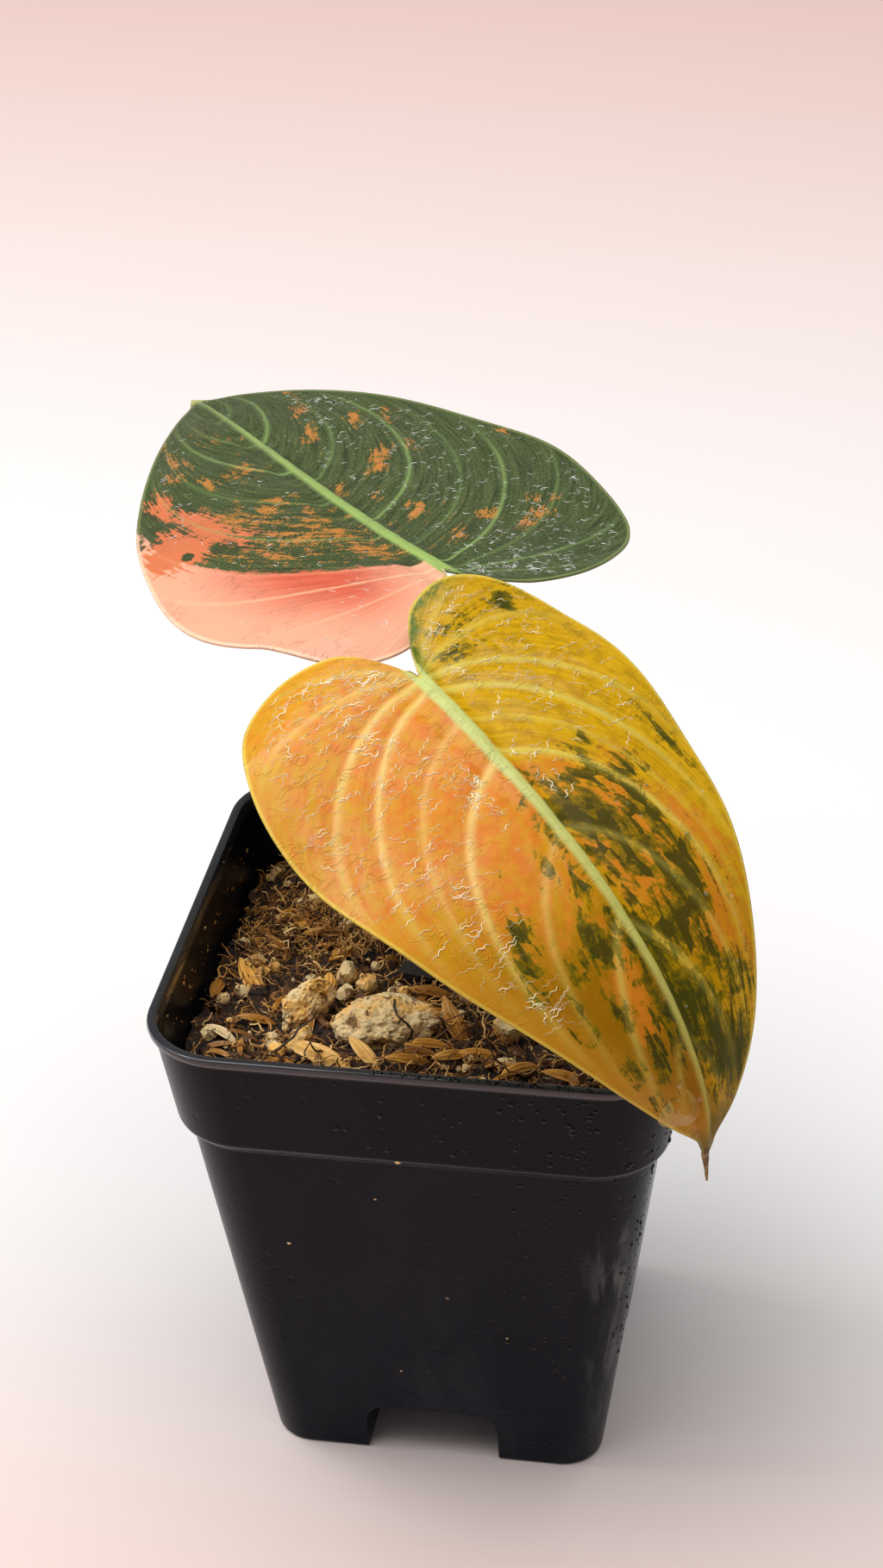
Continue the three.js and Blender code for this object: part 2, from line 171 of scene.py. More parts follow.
class Finish:
    """One procedural material, built round the shader that Blender starts it with."""

    def __init__(self, name, **constants):
        self.material = bpy.data.materials.new(name)
        self.material.use_nodes = True
        self.surface = self.material.node_tree.nodes["Principled BSDF"]
        for socket, value in constants.items():
            self.surface.inputs[socket.replace("_", " ")].default_value = value

    def add(self, kind, settings=None, inputs=None, output=0):
        node = self.material.node_tree.nodes.new(kind)
        for name, value in (settings or {}).items():
            if name == "stops":
                self.set_stops(node.color_ramp, value)
            else:
                setattr(node, name, value)
        for socket, value in (inputs or {}).items():
            self.feed(node.inputs[socket], value)
        return Wire(self, node.outputs[output])

    def set_stops(self, ramp, stops):
        while len(ramp.elements) < len(stops):
            ramp.elements.new(1.0)
        for element, (place, colour) in zip(ramp.elements, stops):
            element.position = place
            element.color = colour

    def feed(self, socket, value):
        if isinstance(value, Wire):
            self.material.node_tree.links.new(socket, value.socket)
        else:
            socket.default_value = value

    def paint(self, **wires):
        for socket, wire in wires.items():
            self.feed(self.surface.inputs[socket.replace("_", " ")], wire)

    def place(self):
        return self.add("ShaderNodeTexCoord", output="Object")

    def drawn(self, name):
        return self.add("ShaderNodeAttribute", {"attribute_name": name}, output="Fac")

    def axis(self, vector, letter):
        """One coordinate of a place, in millimetres."""
        return self.add("ShaderNodeSeparateXYZ", inputs={0: vector}, output=letter) * (1 / MM)

    def spread(self, vector, stretch):
        return self.add("ShaderNodeVectorMath", {"operation": "MULTIPLY"}, {0: vector, 1: stretch})

    def clouds(self, vector, scale, detail=2.0, roughness=0.5, distortion=0.0):
        inputs = {"Vector": vector, "Scale": scale, "Detail": detail, "Roughness": roughness,
                  "Distortion": distortion}
        return self.add("ShaderNodeTexNoise", inputs=inputs)

    def cells(self, vector, scale, output="Distance"):
        return self.add("ShaderNodeTexVoronoi", inputs={"Vector": vector, "Scale": scale},
                        output=output)

    def mix(self, first, second, share):
        settings = {"data_type": "RGBA", "clamp_factor": True}
        return self.add("ShaderNodeMix", settings, {0: share, 6: first, 7: second}, output=2)

    def ramp(self, value, stops):
        return self.add("ShaderNodeValToRGB", {"stops": stops}, {0: value}, output="Color")

    def bump(self, height, distance, strength=1.0):
        inputs = {"Strength": strength, "Distance": distance, "Height": height}
        return self.add("ShaderNodeBump", inputs=inputs, output="Normal")


def rgb(red, green, blue):
    """A colour read as 0 to 255 screen values, as the linear values that a shader takes."""
    linear = []
    for value in (red, green, blue):
        share = value / 255
        linear.append(share / 12.92 if share <= 0.04045 else ((share + 0.055) / 1.055) ** 2.4)
    return (*linear, 1.0)


# %% [markdown]
# ## From a bmesh to a piece
# Every piece ends the same way: the mesh becomes an object at the origin, gets its materials and
# smooth shading (creases sharper than a given angle stay sharp), rides on the one body of this
# model, and hides the CAD nodes that it covers.


# %% Finishing a piece
def piece_from(mesh, name, finishes, covers=(), crease=None):
    piece = add_object(name, mesh)
    for finish in finishes:
        mesh.materials.append(finish.material)
    mesh.shade_smooth()
    if crease:
        mesh.set_sharp_from_angle(angle=math.radians(crease))
    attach(piece, "root")
    if covers:
        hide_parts(*covers)
    print(name, "has", len(mesh.polygons), "faces")
    return piece


def mesh_from(form, name):
    mesh = bpy.data.meshes.new(name)
    form.to_mesh(mesh)
    form.free()
    return mesh


def closed_mesh(form, name):
    """The mesh of a closed form, with every face turned outward."""
    bmesh.ops.recalc_face_normals(form, faces=form.faces[:])
    return mesh_from(form, name)


def whole(form):
    return form.verts[:] + form.edges[:] + form.faces[:]


def next_ring(form, edges):
    """Extrudes a closed ring of edges and returns the new edges and their vertices."""
    grown = bmesh.ops.extrude_edge_only(form, edges=edges)["geom"]
    new_edges = [item for item in grown if isinstance(item, bmesh.types.BMEdge)]
    new_verts = [item for item in grown if isinstance(item, bmesh.types.BMVert)]
    return new_edges, new_verts


# %% [markdown]
# ## Pot: the shape
# The pot is one moulded piece of thin black plastic: a tapered body on four feet, a shoulder, a
# collar and a rounded lip. A square with bevelled corners is its section everywhere, so one such
# ring is extruded level by level up the outside, over the lip and down to the floor. The corners
# of each new ring are moved to that level's width and radius.

# %% Pot shell
CORNER_STEPS = 12
POT_WALL = 1.2
OUTSIDE = [
    (0.0, 55.5, 6.3), (0.25, 56.4, 6.7), (0.9, 57.0, 6.9), (69.2, 76.8, 10.4),
    (69.9, 77.3, 10.6), (70.7, 79.2, 11.4), (71.3, 80.6, 12.1), (72.1, 81.2, 12.2),
    (89.1, 86.2, 13.0), (89.5, 86.9, 13.1), (89.6, 87.5, 13.2), (89.9, 87.9, 13.3),
    (90.5, 88.0, 13.3), (90.85, 87.7, 13.15), (91.0, 87.0, 12.8),
]
INSIDE = [
    (91.0, 85.6, 12.1), (90.85, 84.9, 11.8), (90.5, 84.5, 11.55), (89.0, 83.8, 11.8),
    (72.7, 78.8, 11.0), (71.2, 77.6, 10.4), (70.1, 74.6, 9.2), (1.2, 54.6, 5.7),
]


def square_ring(form):
    """A square with bevelled corners. Each vertex keeps its corner and how far round it is."""
    bmesh.ops.create_grid(form, x_segments=1, y_segments=1, size=1.0)
    bmesh.ops.bevel(form, geom=form.verts[:], offset=0.5, affect="VERTICES",
                    segments=CORNER_STEPS, profile=0.5, material=-1)
    bmesh.ops.delete(form, geom=form.faces[:], context="FACES_ONLY")
    keys = [form.verts.layers.float.new(key).name for key in ("side_x", "side_y", "turn")]
    side_x, side_y, turn = (form.verts.layers.float[key] for key in keys)
    for vert in form.verts:
        vert[side_x] = math.copysign(1, vert.co.x)
        vert[side_y] = math.copysign(1, vert.co.y)
        vert[turn] = math.atan2(abs(vert.co.y) - 0.5, abs(vert.co.x) - 0.5)
    return side_x, side_y, turn


def shell(levels):
    """A closed form whose rings follow the levels, capped at both ends."""
    form = bmesh.new()
    side_x, side_y, turn = square_ring(form)
    edges, verts = form.edges[:], form.verts[:]
    first = edges
    for step, (height, width, radius) in enumerate(levels):
        if step:
            edges, verts = next_ring(form, edges)
        reach = width / 2 - radius
        for vert in verts:
            vert.co = at(vert[side_x] * (reach + radius * math.cos(vert[turn])),
                         vert[side_y] * (reach + radius * math.sin(vert[turn])), height)
    bmesh.ops.contextual_create(form, geom=first)
    bmesh.ops.contextual_create(form, geom=edges)
    bmesh.ops.recalc_face_normals(form, faces=form.faces[:])
    return form


# %% [markdown]
# The foot is not flat: a cross-shaped channel lets air and water through beneath the pot and
# leaves a foot at each corner, and the floor rises over it with the same wall. Cutting it from
# the shell with Boolean modifiers is the quickest way to get both faces of that wall right.

# %% Pot foot
CHANNEL = {"half": 11.4, "height": 10.7, "round": 4.0, "past": 5.0}
DRAIN_RADIUS, DRAIN_REACH = 3.2, 18.0


def channel_bar(wall, along_x):
    """One bar with rounded upper edges, as long as the pot is wide."""
    form = bmesh.new()
    half, top = CHANNEL["half"] + wall, CHANNEL["height"] + wall
    tall = top + CHANNEL["past"]
    bmesh.ops.create_cube(form, size=1.0)
    bmesh.ops.scale(form, vec=(2 * half, 100, tall), verts=form.verts)
    bmesh.ops.translate(form, vec=(0, 0, top - tall / 2), verts=form.verts)
    long_upper = [edge for edge in form.edges
                  if all(vert.co.z > 0 for vert in edge.verts)
                  and abs(edge.verts[0].co.y - edge.verts[1].co.y) > 1]
    bmesh.ops.bevel(form, geom=long_upper, offset=CHANNEL["round"] + wall, affect="EDGES",
                    segments=8, profile=0.5, material=-1)
    if along_x:
        bmesh.ops.rotate(form, cent=(0, 0, 0), matrix=Matrix.Rotation(math.pi / 2, 3, "Z"),
                         verts=form.verts)
    bmesh.ops.scale(form, vec=(MM, MM, MM), verts=form.verts)
    bmesh.ops.translate(form, vec=HOME, verts=form.verts)
    return form


def drain(x, y):
    form = bmesh.new()
    place = Matrix.Translation(at(x, y, CHANNEL["height"]))
    bmesh.ops.create_cone(form, cap_ends=True, segments=32, radius1=DRAIN_RADIUS * MM,
                          radius2=DRAIN_RADIUS * MM, depth=6 * MM, matrix=place)
    return form


def carve(form, cutters):
    """The form with each cutter taken away by a Boolean modifier, as a mesh."""
    body, tools = add_object("body", mesh_from(form, "body")), []
    for cutter in cutters:
        mesh = cutter if isinstance(cutter, bpy.types.Mesh) else mesh_from(cutter, "cutter")
        tool = add_object("cutter", mesh)
        tools.append(tool)
        cut = body.modifiers.new("cut", "BOOLEAN")
        cut.operation = "DIFFERENCE"
        cut.solver = "EXACT"
        cut.object = tool
    bpy.context.view_layer.update()
    mesh = bpy.data.meshes.new_from_object(
        body.evaluated_get(bpy.context.evaluated_depsgraph_get()))
    for spare in (body, *tools):
        bpy.data.objects.remove(spare)
    return mesh


room_levels = [INSIDE[-1], *INSIDE[-2:1:-1], (91.5, 84.3, 11.5)]
lip_levels = [*OUTSIDE, *INSIDE[:3]]
room = carve(shell(room_levels), [channel_bar(POT_WALL, False), channel_bar(POT_WALL, True)])
holes = [(0, 0), (DRAIN_REACH, 0), (-DRAIN_REACH, 0), (0, DRAIN_REACH), (0, -DRAIN_REACH)]
cutters = [room, channel_bar(0, False), channel_bar(0, True), *(drain(*hole) for hole in holes)]
pot_mesh = carve(shell(lip_levels), cutters)
print("pot mesh has", len(pot_mesh.polygons), "faces")

# %% [markdown]
# ## Pot: the finish
# Recycled black plastic is satin, not glossy: a bluish dark grey that picks up broad soft
# reflections. Close up it has fine pits from the mould and a few pale dust specks. It is paler in
# cloudy patches low down. The pale runs at the right corner are partly dried water and partly a
# painted reflection on that rounded corner. The collar is painted darker, as painted shade, and
# the lip is painted paler, as a painted highlight.

# %% Black plastic
plastic = Finish("black_plastic", Specular_IOR_Level=0.12, IOR=1.46, Coat_Roughness=0.1)
spot = plastic.place()
rightward, deep, height = (plastic.axis(spot, letter) for letter in "XYZ")
lip = height.step(88.6, 89.4)
shoulder = height.step(69.4, 70.0) * height.step(72.2, 71.6)
# Paler in cloudy patches, more strongly towards the bottom.
pale_patches = plastic.clouds(plastic.spread(spot, (1, 1, 0.6)), 70, 4, 0.65).step(0.45, 0.75)
pale_patches = pale_patches * (0.25 + 0.75 * height.step(55, 20))
# Pale runs on the right corner: partly dried water, partly a painted reflection on the rounded
# corner.
runs = plastic.clouds(plastic.spread(spot, (1, 1, 0.07)), 420, 3, 0.6).step(0.48, 0.68)
runs = runs * rightward.step(28.5, 37) * height.step(68, 45) * deep.step(-22, -36)
grime = plastic.clouds(spot, 45, 4, 0.6)
pits = plastic.cells(spot, 420).step(0.32, 0.12) * plastic.clouds(spot, 60, 2).step(0.46, 0.62)
grain = plastic.clouds(spot, 1500, 3, 0.6)
dust = plastic.cells(spot, 160).step(0.07, 0.04) * plastic.clouds(spot, 37, 2).step(0.54, 0.6)
bare = plastic.mix(rgb(5, 8, 16), rgb(23, 27, 40), grime)
bare = plastic.mix(bare, rgb(50, 52, 58), pale_patches * 0.4)
# Paler on the right corner: dried-water runs and a painted reflection.
bare = plastic.mix(bare, rgb(150, 156, 150), runs * 0.3)
# Painted shade: the collar above the shoulder is painted darker.
bare = plastic.mix(bare, rgb(4, 6, 13), height.step(71.5, 72.5) * 0.6)
# Painted highlight: the lip is painted paler.
bare = plastic.mix(bare, rgb(66, 68, 74), lip * (0.3 + 0.5 * pale_patches))
dusty = plastic.mix(bare, rgb(150, 132, 110), dust * 0.75)
plastic.paint(
    Base_Color=dusty,
    Roughness=0.2 + 0.16 * grime + 0.3 * dust,
    Coat_Weight=lip + shoulder * 0.35,
    Normal=plastic.bump(grain * 0.3 - pits, 0.00012, 0.6),
)

# %% The pot
pot = piece_from(pot_mesh, "nursery_pot", [plastic], ["pot"], crease=32)
level_walls = pot.modifiers.new("level_walls", "WEIGHTED_NORMAL")
level_walls.keep_sharp = True

# %% [markdown]
# ## Potting mix: the ground
# Beneath the loose bits lies one damp brown mass. A grid is pressed into the pot's rounded square
# and pushed up and down by noise, and its rim is extruded down the wall and closed beneath, so
# that it is a solid lump, as the CAD node that it covers is.

# %% Ground
GAP = 0.3
GROUND_STEPS = 150
BED_LEVELS = (60, 30, 12.3)


def mix_height(x, y):
    slope = 80.8 + 0.045 * x - 0.05 * y
    coarse = math.sin(x * 0.31 + 1.3) * math.sin(y * 0.27 + 0.4)
    fine = math.sin(x * 0.83 + y * 0.35) * math.sin(y * 0.71 - x * 0.22 + 2)
    return slope + 0.8 * (0.7 * coarse + 0.6 * fine)


def section_at(levels, height):
    """Width and corner radius of the pot between two of its levels, which go upward."""
    for (z0, width0, radius0), (z1, width1, radius1) in zip(levels, levels[1:]):
        if z0 <= height <= z1:
            share = (height - z0) / (z1 - z0)
            return width0 + (width1 - width0) * share, radius0 + (radius1 - radius0) * share
    return levels[0][1:]


def room_at(height):
    """Half width and corner radius of the space in the pot, clear of its wall."""
    width, radius = section_at(INSIDE[::-1], height)
    return width / 2 - GAP, radius - GAP


def in_room(u, v, height):
    """A place on a square sheet, u and v from -1 to 1, pressed into the pot's section."""
    half, radius = room_at(height)
    ring = max(abs(u), abs(v))
    if ring == 0:
        return Vector((0, 0))
    edge = Vector((u, v)) / ring * half
    core = Vector((max(radius - half, min(half - radius, edge.x)),
                   max(radius - half, min(half - radius, edge.y))))
    out = edge - core
    return (core + out.normalized() * radius) * ring


def lumps(x, y):
    spot = Vector((x, y, 0))
    return 0.75 * noise.fractal(spot * 0.45, 0.8, 2.1, 5) + 0.5 * noise.noise(spot * 0.16)


ground = bmesh.new()
bmesh.ops.create_grid(ground, x_segments=GROUND_STEPS, y_segments=GROUND_STEPS, size=1.0)
for vert in ground.verts:
    u, v = vert.co.x, vert.co.y
    flat = in_room(u, v, 79)
    height = mix_height(*flat) + lumps(*flat) - 0.5
    edge_drop = max(0.0, max(abs(u), abs(v)) - 0.93) * 9
    flat = in_room(u, v, height)
    vert.co = at(flat.x, flat.y, height - edge_drop)
rim = [edge for edge in ground.edges if edge.is_boundary]
for level in BED_LEVELS:
    rim, verts = next_ring(ground, rim)
    for vert in verts:
        spot = (vert.co - HOME) / MM
        wide = max(abs(spot.x), abs(spot.y))
        flat = in_room(spot.x / wide, spot.y / wide, level)
        vert.co = at(flat.x, flat.y, level)
bmesh.ops.contextual_create(ground, geom=rim)

# %% [markdown]
# ## Finishes of the mix
# Damp coir is a warm dark brown that changes from fibre to fibre. The ground's darkest tones are
# also painted shade, for the deep gaps between the loose bits. Every loose bit carries one
# random number, its tint, and a ramp turns that into a colour, so one material serves hundreds
# of bits without any two being quite alike.

# %% Mix finishes
earth = Finish("damp_coir", Roughness=0.85)
spot = earth.place()
coarse = earth.clouds(spot, 260, 5, 0.65)
fine = earth.clouds(spot, 1400, 3, 0.6)
# Its darkest stops are damp coir and also painted shade, for the deep gaps between the loose bits.
coir_with_gap_shade = earth.ramp(coarse * 0.7 + fine * 0.3, [
    (0.3, rgb(12, 8, 5)), (0.48, rgb(34, 20, 10)), (0.58, rgb(84, 54, 26)),
    (0.72, rgb(160, 108, 54))])
earth.paint(Base_Color=coir_with_gap_shade, Normal=earth.bump(coarse + fine * 0.5, 0.0012, 0.9))


def tinted(name, stops, roughness, bump_scale, bump_depth):
    """A finish whose ramp turns each bit's tint, a little mottled, into its colour."""
    finish = Finish(name, Roughness=roughness)
    spot = finish.place()
    mottle = finish.clouds(spot, bump_scale, 3, 0.6)
    tint = finish.drawn("tint") + mottle.swing(0.25)
    finish.paint(Base_Color=finish.ramp(tint, stops), Normal=finish.bump(mottle, bump_depth, 0.7))
    return finish


fibre = tinted("coir_fibre", [
    (0.0, rgb(44, 24, 9)), (0.35, rgb(126, 80, 32)), (0.65, rgb(204, 144, 66)),
    (1.0, rgb(244, 204, 134))], 0.75, 900, 0.0003)
hull = tinted("rice_hull", [
    (0.0, rgb(96, 60, 22)), (0.35, rgb(168, 112, 40)), (0.6, rgb(224, 160, 62)),
    (0.8, rgb(236, 184, 96)), (1.0, rgb(240, 212, 160))], 0.5, 700, 0.0003)
bark = tinted("bark_chip", [
    (0.0, rgb(26, 20, 18)), (0.5, rgb(60, 38, 24)), (1.0, rgb(120, 78, 44))], 0.8, 500, 0.0006)
rootlet = tinted("rootlet", [
    (0.0, rgb(30, 17, 12)), (0.5, rgb(72, 42, 28)), (1.0, rgb(120, 80, 52))], 0.6, 700, 0.0002)

pumice = Finish("pumice", Roughness=0.9)
spot = pumice.place()
broad = pumice.clouds(spot, 190, 3, 0.6)
pores = pumice.cells(spot, 900).step(0.4, 0.15) * pumice.clouds(spot, 300, 3).step(0.52, 0.64)
stain = pumice.clouds(spot, 380, 5, 0.7, 0.6).step(0.55, 0.60)
stone_colour = pumice.mix(rgb(238, 210, 156), rgb(248, 190, 98), broad.step(0.45, 0.62))
stone_colour = pumice.mix(stone_colour, rgb(104, 62, 26), stain * 0.88)
stone_colour = pumice.mix(stone_colour, rgb(74, 46, 26), pores * 0.7)
gritty = pumice.clouds(spot, 1700, 3, 0.6)
pumice.paint(Base_Color=stone_colour, Normal=pumice.bump(gritty * 0.6 - pores, 0.0005, 0.9))

piece_from(closed_mesh(ground, "coir_bed"), "coir_bed", [earth], ["potting_mix"])

# %% [markdown]
# ## Loose bits: the shapes
# Rice hulls are small boats with pointed ends and raised ribs. Grains and bark chips are lumps
# with flat breaks, and coir fibres and roots are thin tubes that curl at random. A few templates
# of each are enough: copies are turned, sized and tinted by a seeded random number, and joined
# into one piece a kind. The tubes and the smooth rows of points serve the leaves later too.


# %% Templates
def hull_template(seed):
    form = bmesh.new()
    bmesh.ops.create_grid(form, x_segments=7, y_segments=8, size=0.5)
    for vert in form.verts:
        along, across = vert.co.x * 2, vert.co.y * 2
        wide = 0.125 * (1 - abs(along) ** 2.0) ** 0.8
        curl = 0.09 * (1 - across * across) * (1 - along * along) ** 0.5
        ribs = 0.02 * math.cos(across * math.pi * 4) * (1 - abs(along))
        vert.co = Vector((along * 0.5, across * wide + 0.02 * along * along * seed,
                          curl + ribs - 0.05 * along * along))
    bmesh.ops.remove_doubles(form, verts=form.verts, dist=0.004)
    bmesh.ops.solidify(form, geom=form.faces[:], thickness=0.02)
    return closed_mesh(form, "hull_template")


def lump_template(seed, detail=2, flat=0.35):
    form = bmesh.new()
    bmesh.ops.create_icosphere(form, subdivisions=detail, radius=0.5)
    shift = Vector((seed * 7.3, seed * 3.1, seed * 5.7))
    for vert in form.verts:
        broad, fine = noise.noise(vert.co * 2.6 + shift), noise.noise(vert.co * 6 + shift)
        vert.co *= 1 + flat * broad + 0.3 * fine
    draw = random.Random(seed)
    for cut in range(3):
        normal = Vector([draw.uniform(-1, 1) for axis in range(3)]).normalized()
        sliced = bmesh.ops.bisect_plane(form, geom=whole(form),
                                        plane_co=normal * 0.36, plane_no=normal, clear_outer=True)
        rim = [item for item in sliced["geom_cut"] if isinstance(item, bmesh.types.BMEdge)]
        if rim:
            bmesh.ops.contextual_create(form, geom=rim)
    return closed_mesh(form, "lump_template")


def tube(form, path, radii, sides):
    """A closed tube along a path, grown ring by ring from one small circle."""
    heading = (path[1] - path[0]).normalized()
    slot = form.verts.layers.int.get("spoke") or form.verts.layers.int.new("spoke")
    circle = bmesh.ops.create_circle(form, segments=sides, radius=1.0)["verts"]
    ring = list({edge for vert in circle for edge in vert.link_edges})
    first = ring
    shape = {}
    for index, vert in enumerate(circle):
        vert[slot] = index
        shape[index] = vert.co.copy()
    frame_turn = heading.to_track_quat("Z", "Y")
    verts = circle
    for step, (centre, radius) in enumerate(zip(path, radii)):
        if step:
            ring, verts = next_ring(form, ring)
            ahead = path[min(step + 1, len(path) - 1)] - path[step - 1]
            new_heading = ahead.normalized()
            frame_turn = heading.rotation_difference(new_heading) @ frame_turn
            heading = new_heading
        for vert in verts:
            vert.co = centre + frame_turn @ (shape[vert[slot]] * radius)
    bmesh.ops.contextual_create(form, geom=first)
    bmesh.ops.contextual_create(form, geom=ring)


def tube_mesh(name, path, radii, sides):
    form = bmesh.new()
    tube(form, path, radii, sides)
    return closed_mesh(form, name)


def smooth_row(rows, share):
    """A point of the smooth curve through the rows, at a share of the way along them."""
    place = share * (len(rows) - 1)
    index = min(int(place), len(rows) - 1)
    t = place - index
    before, here = rows[max(index - 1, 0)], rows[index]
    after, beyond = rows[min(index + 1, len(rows) - 1)], rows[min(index + 2, len(rows) - 1)]
    blended = []
    for p0, p1, p2, p3 in zip(before, here, after, beyond):
        v0, v1 = (p2 - p0) / 2, (p3 - p1) / 2
        cubic, square = 2 * p1 - 2 * p2 + v0 + v1, 3 * p2 - 3 * p1 - 2 * v0 - v1
        blended.append(cubic * t ** 3 + square * t ** 2 + v0 * t + p1)
    return blended


def smooth_path(points, steps):
    return [Vector(smooth_row([tuple(point) for point in points], step / steps))
            for step in range(steps + 1)]


def curl_template(seed, steps=9, bend=1.1, sides=3, thick=0.034):
    draw = random.Random(seed)
    heading, spot, path = Vector((1, 0, 0)), Vector((-0.5, 0, 0)), []
    for step in range(steps):
        path.append(spot.copy())
        heading = (heading + Vector([draw.gauss(0, bend) for axis in range(3)]) * 0.5).normalized()
        spot += heading / steps
        spot.z *= 0.8
    radii = [thick * (1 - 0.5 * abs(2 * step / (steps - 1) - 1)) for step in range(steps)]
    return tube_mesh("curl_template", path, radii, sides)


hull_shapes = [hull_template(seed) for seed in (-1.5, 0.5, 2.0)]
grain_shapes = [lump_template(seed) for seed in range(1, 7)]
chip_shapes = [lump_template(seed, 1, 0.8) for seed in range(11, 16)]
curl_shapes = [curl_template(seed) for seed in range(21, 33)]
root_shapes = [curl_template(seed, 12, 0.35, 5, 0.014) for seed in range(41, 46)]
for shapes in (hull_shapes, grain_shapes, chip_shapes, curl_shapes, root_shapes):
    print(len(shapes), shapes[0].name, "shapes, the first with", len(shapes[0].polygons), "faces")

# %% [markdown]
# ## Loose bits: where they lie
# A bit lies on the ground at its own place, tipped a little, so its height is read from the
# ground below it. The larger hulls and grains that catch the eye are placed one by one, and the
# rest are strewn at random, kept off the stones, the stem and the wall. A few flakes of the mix
# also stick to the pot: inside its left wall, and as five pale specks on its front.

# %% Strewing
draw = random.Random(9)
LOOSE = {"hulls": 120, "grains": 150, "chips": 420, "fibres": 2600, "matted": 900, "flakes": 80,
         "roots": 60}
MATTED_AT, FLAKES_TOP = (-24, 14), 90
STONES = {"pumice_large": ((-7.4, -18.2), 8.5), "pumice_small": ((-21.6, -14.6), 4.0)}
STEM_FOOT = (2.0, 4.0)


def surface(x, y):
    return mix_height(x, y) + lumps(x, y) - 0.5


def free_place(margin=2.0, clear=1.0):
    while True:
        flat = in_room(draw.uniform(-1, 1), draw.uniform(-1, 1), 80)
        half, radius = room_at(80)
        if max(abs(flat.x), abs(flat.y)) > half - margin:
            continue
        off_stem = (flat - Vector(STEM_FOOT)).length > 4.5
        off_stones = all((flat - Vector(place)).length > reach * clear
                         for place, reach in STONES.values())
        if off_stem and off_stones:
            return flat


def laid(shape, x, y, lift, size, turn, tip=(0.0, 0.0), tint=None):
    """One bit: its template, where it lies, and its tint. Sizes are in millimetres."""
    turned = Euler((tip[0], tip[1], math.radians(turn)), "XYZ").to_matrix().to_4x4()
    stretch = Matrix.Diagonal((*[value * MM for value in size], 1.0))
    place = Matrix.Translation(at(x, y, surface(x, y) + lift))
    return shape, place @ turned @ stretch, draw.random() if tint is None else tint


def inside_pot(mesh):
    """Whether every point of a laid bit is clear of the pot's inner wall."""
    for vert in mesh.vertices:
        x, y, z = (vert.co - HOME) / MM
        half, radius = room_at(min(z, 90.9))
        over = Vector((max(abs(x) - half + radius, 0), max(abs(y) - half + radius, 0)))
        if over.length > radius - 0.1:
            return False
    return True


def joined(parts):
    """All parts as one mesh, joined in small groups, which is much faster than one by one."""
    while len(parts) > 1:
        groups = []
        for start in range(0, len(parts), 25):
            heap = bmesh.new()
            for part in parts[start:start + 25]:
                heap.from_mesh(part)
                bpy.data.meshes.remove(part)
            groups.append(mesh_from(heap, "group"))
        parts = groups
    return parts[0]


def tint_all(mesh, tint):
    layer = mesh.attributes.new("tint", "FLOAT", "POINT")
    layer.data.foreach_set("value", [tint] * len(mesh.vertices))


def pile(name, bits, finish, crease=None, walled=True):
    """All bits of one kind as a single piece."""
    parts = []
    for shape, place, tint in bits:
        part = shape.copy()
        part.transform(place)
        if walled and not inside_pot(part):
            bpy.data.meshes.remove(part)
            continue
        tint_all(part, tint)
        parts.append(part)
    return piece_from(joined(parts), name, [finish], crease=crease)


# x, y, length, turn, tip along, tip across, lift, tint
CHOSEN_HULLS = [
    (-16.9, -27.4, 14.0, -22, 0.1, 0.1, 1.6, 0.72), (-9.3, -28.0, 9.0, -42, 0.3, 0.1, 1.0, 0.72),
    (-39.3, -13.4, 9.5, 100, 0.9, 0.5, 2.0, 0.5), (-34.2, -22.3, 6.5, -26, 0.2, 0.1, 1.4, 1.0),
    (-32.9, -6.0, 11.0, -53, 0.3, 0.35, 1.8, 0.6), (-19.3, -6.3, 8.5, 101, 0.1, 0.4, 1.6, 0.62),
    (-19.1, 3.7, 9.9, 70, 0.4, 0.2, 1.2, 0.35), (-10.3, 2.0, 7.5, 84, 0.7, 0.4, 1.6, 0.25),
    (4.8, -27.1, 9.0, 57, 0.4, 0.2, 1.3, 0.62), (0.3, -23.7, 8.0, 17, 0.2, 0.1, 1.2, 0.45),
    (-2.0, -7.1, 9.0, 27, 0.4, 0.1, 1.3, 0.35), (3.6, -17.6, 10.5, -53, 0.6, 0.1, 1.5, 0.4),
    (16.2, -29.5, 8.0, 47, 0.2, 0.2, 1.2, 0.55), (24.3, -31.0, 9.0, 4, 0.3, 0.0, 1.2, 0.5),
    (-38.3, -8.0, 8.0, 93, 0.2, 0.1, 0.9, 0.3), (-31.4, 16.5, 7.0, 85, 0.3, 0.2, 1.3, 0.5),
    (-29.5, -17.2, 7.0, 11, 0.3, 0.1, 1.0, 0.35), (-1.8, -28.4, 9.0, 31, 0.4, 0.1, 1.0, 0.42),
    (8.5, -25.0, 8.5, 20, 0.2, 0.1, 1.2, 0.55), (-24.0, 10.0, 8.0, 40, 0.3, 0.2, 0.9, 0.3),
]
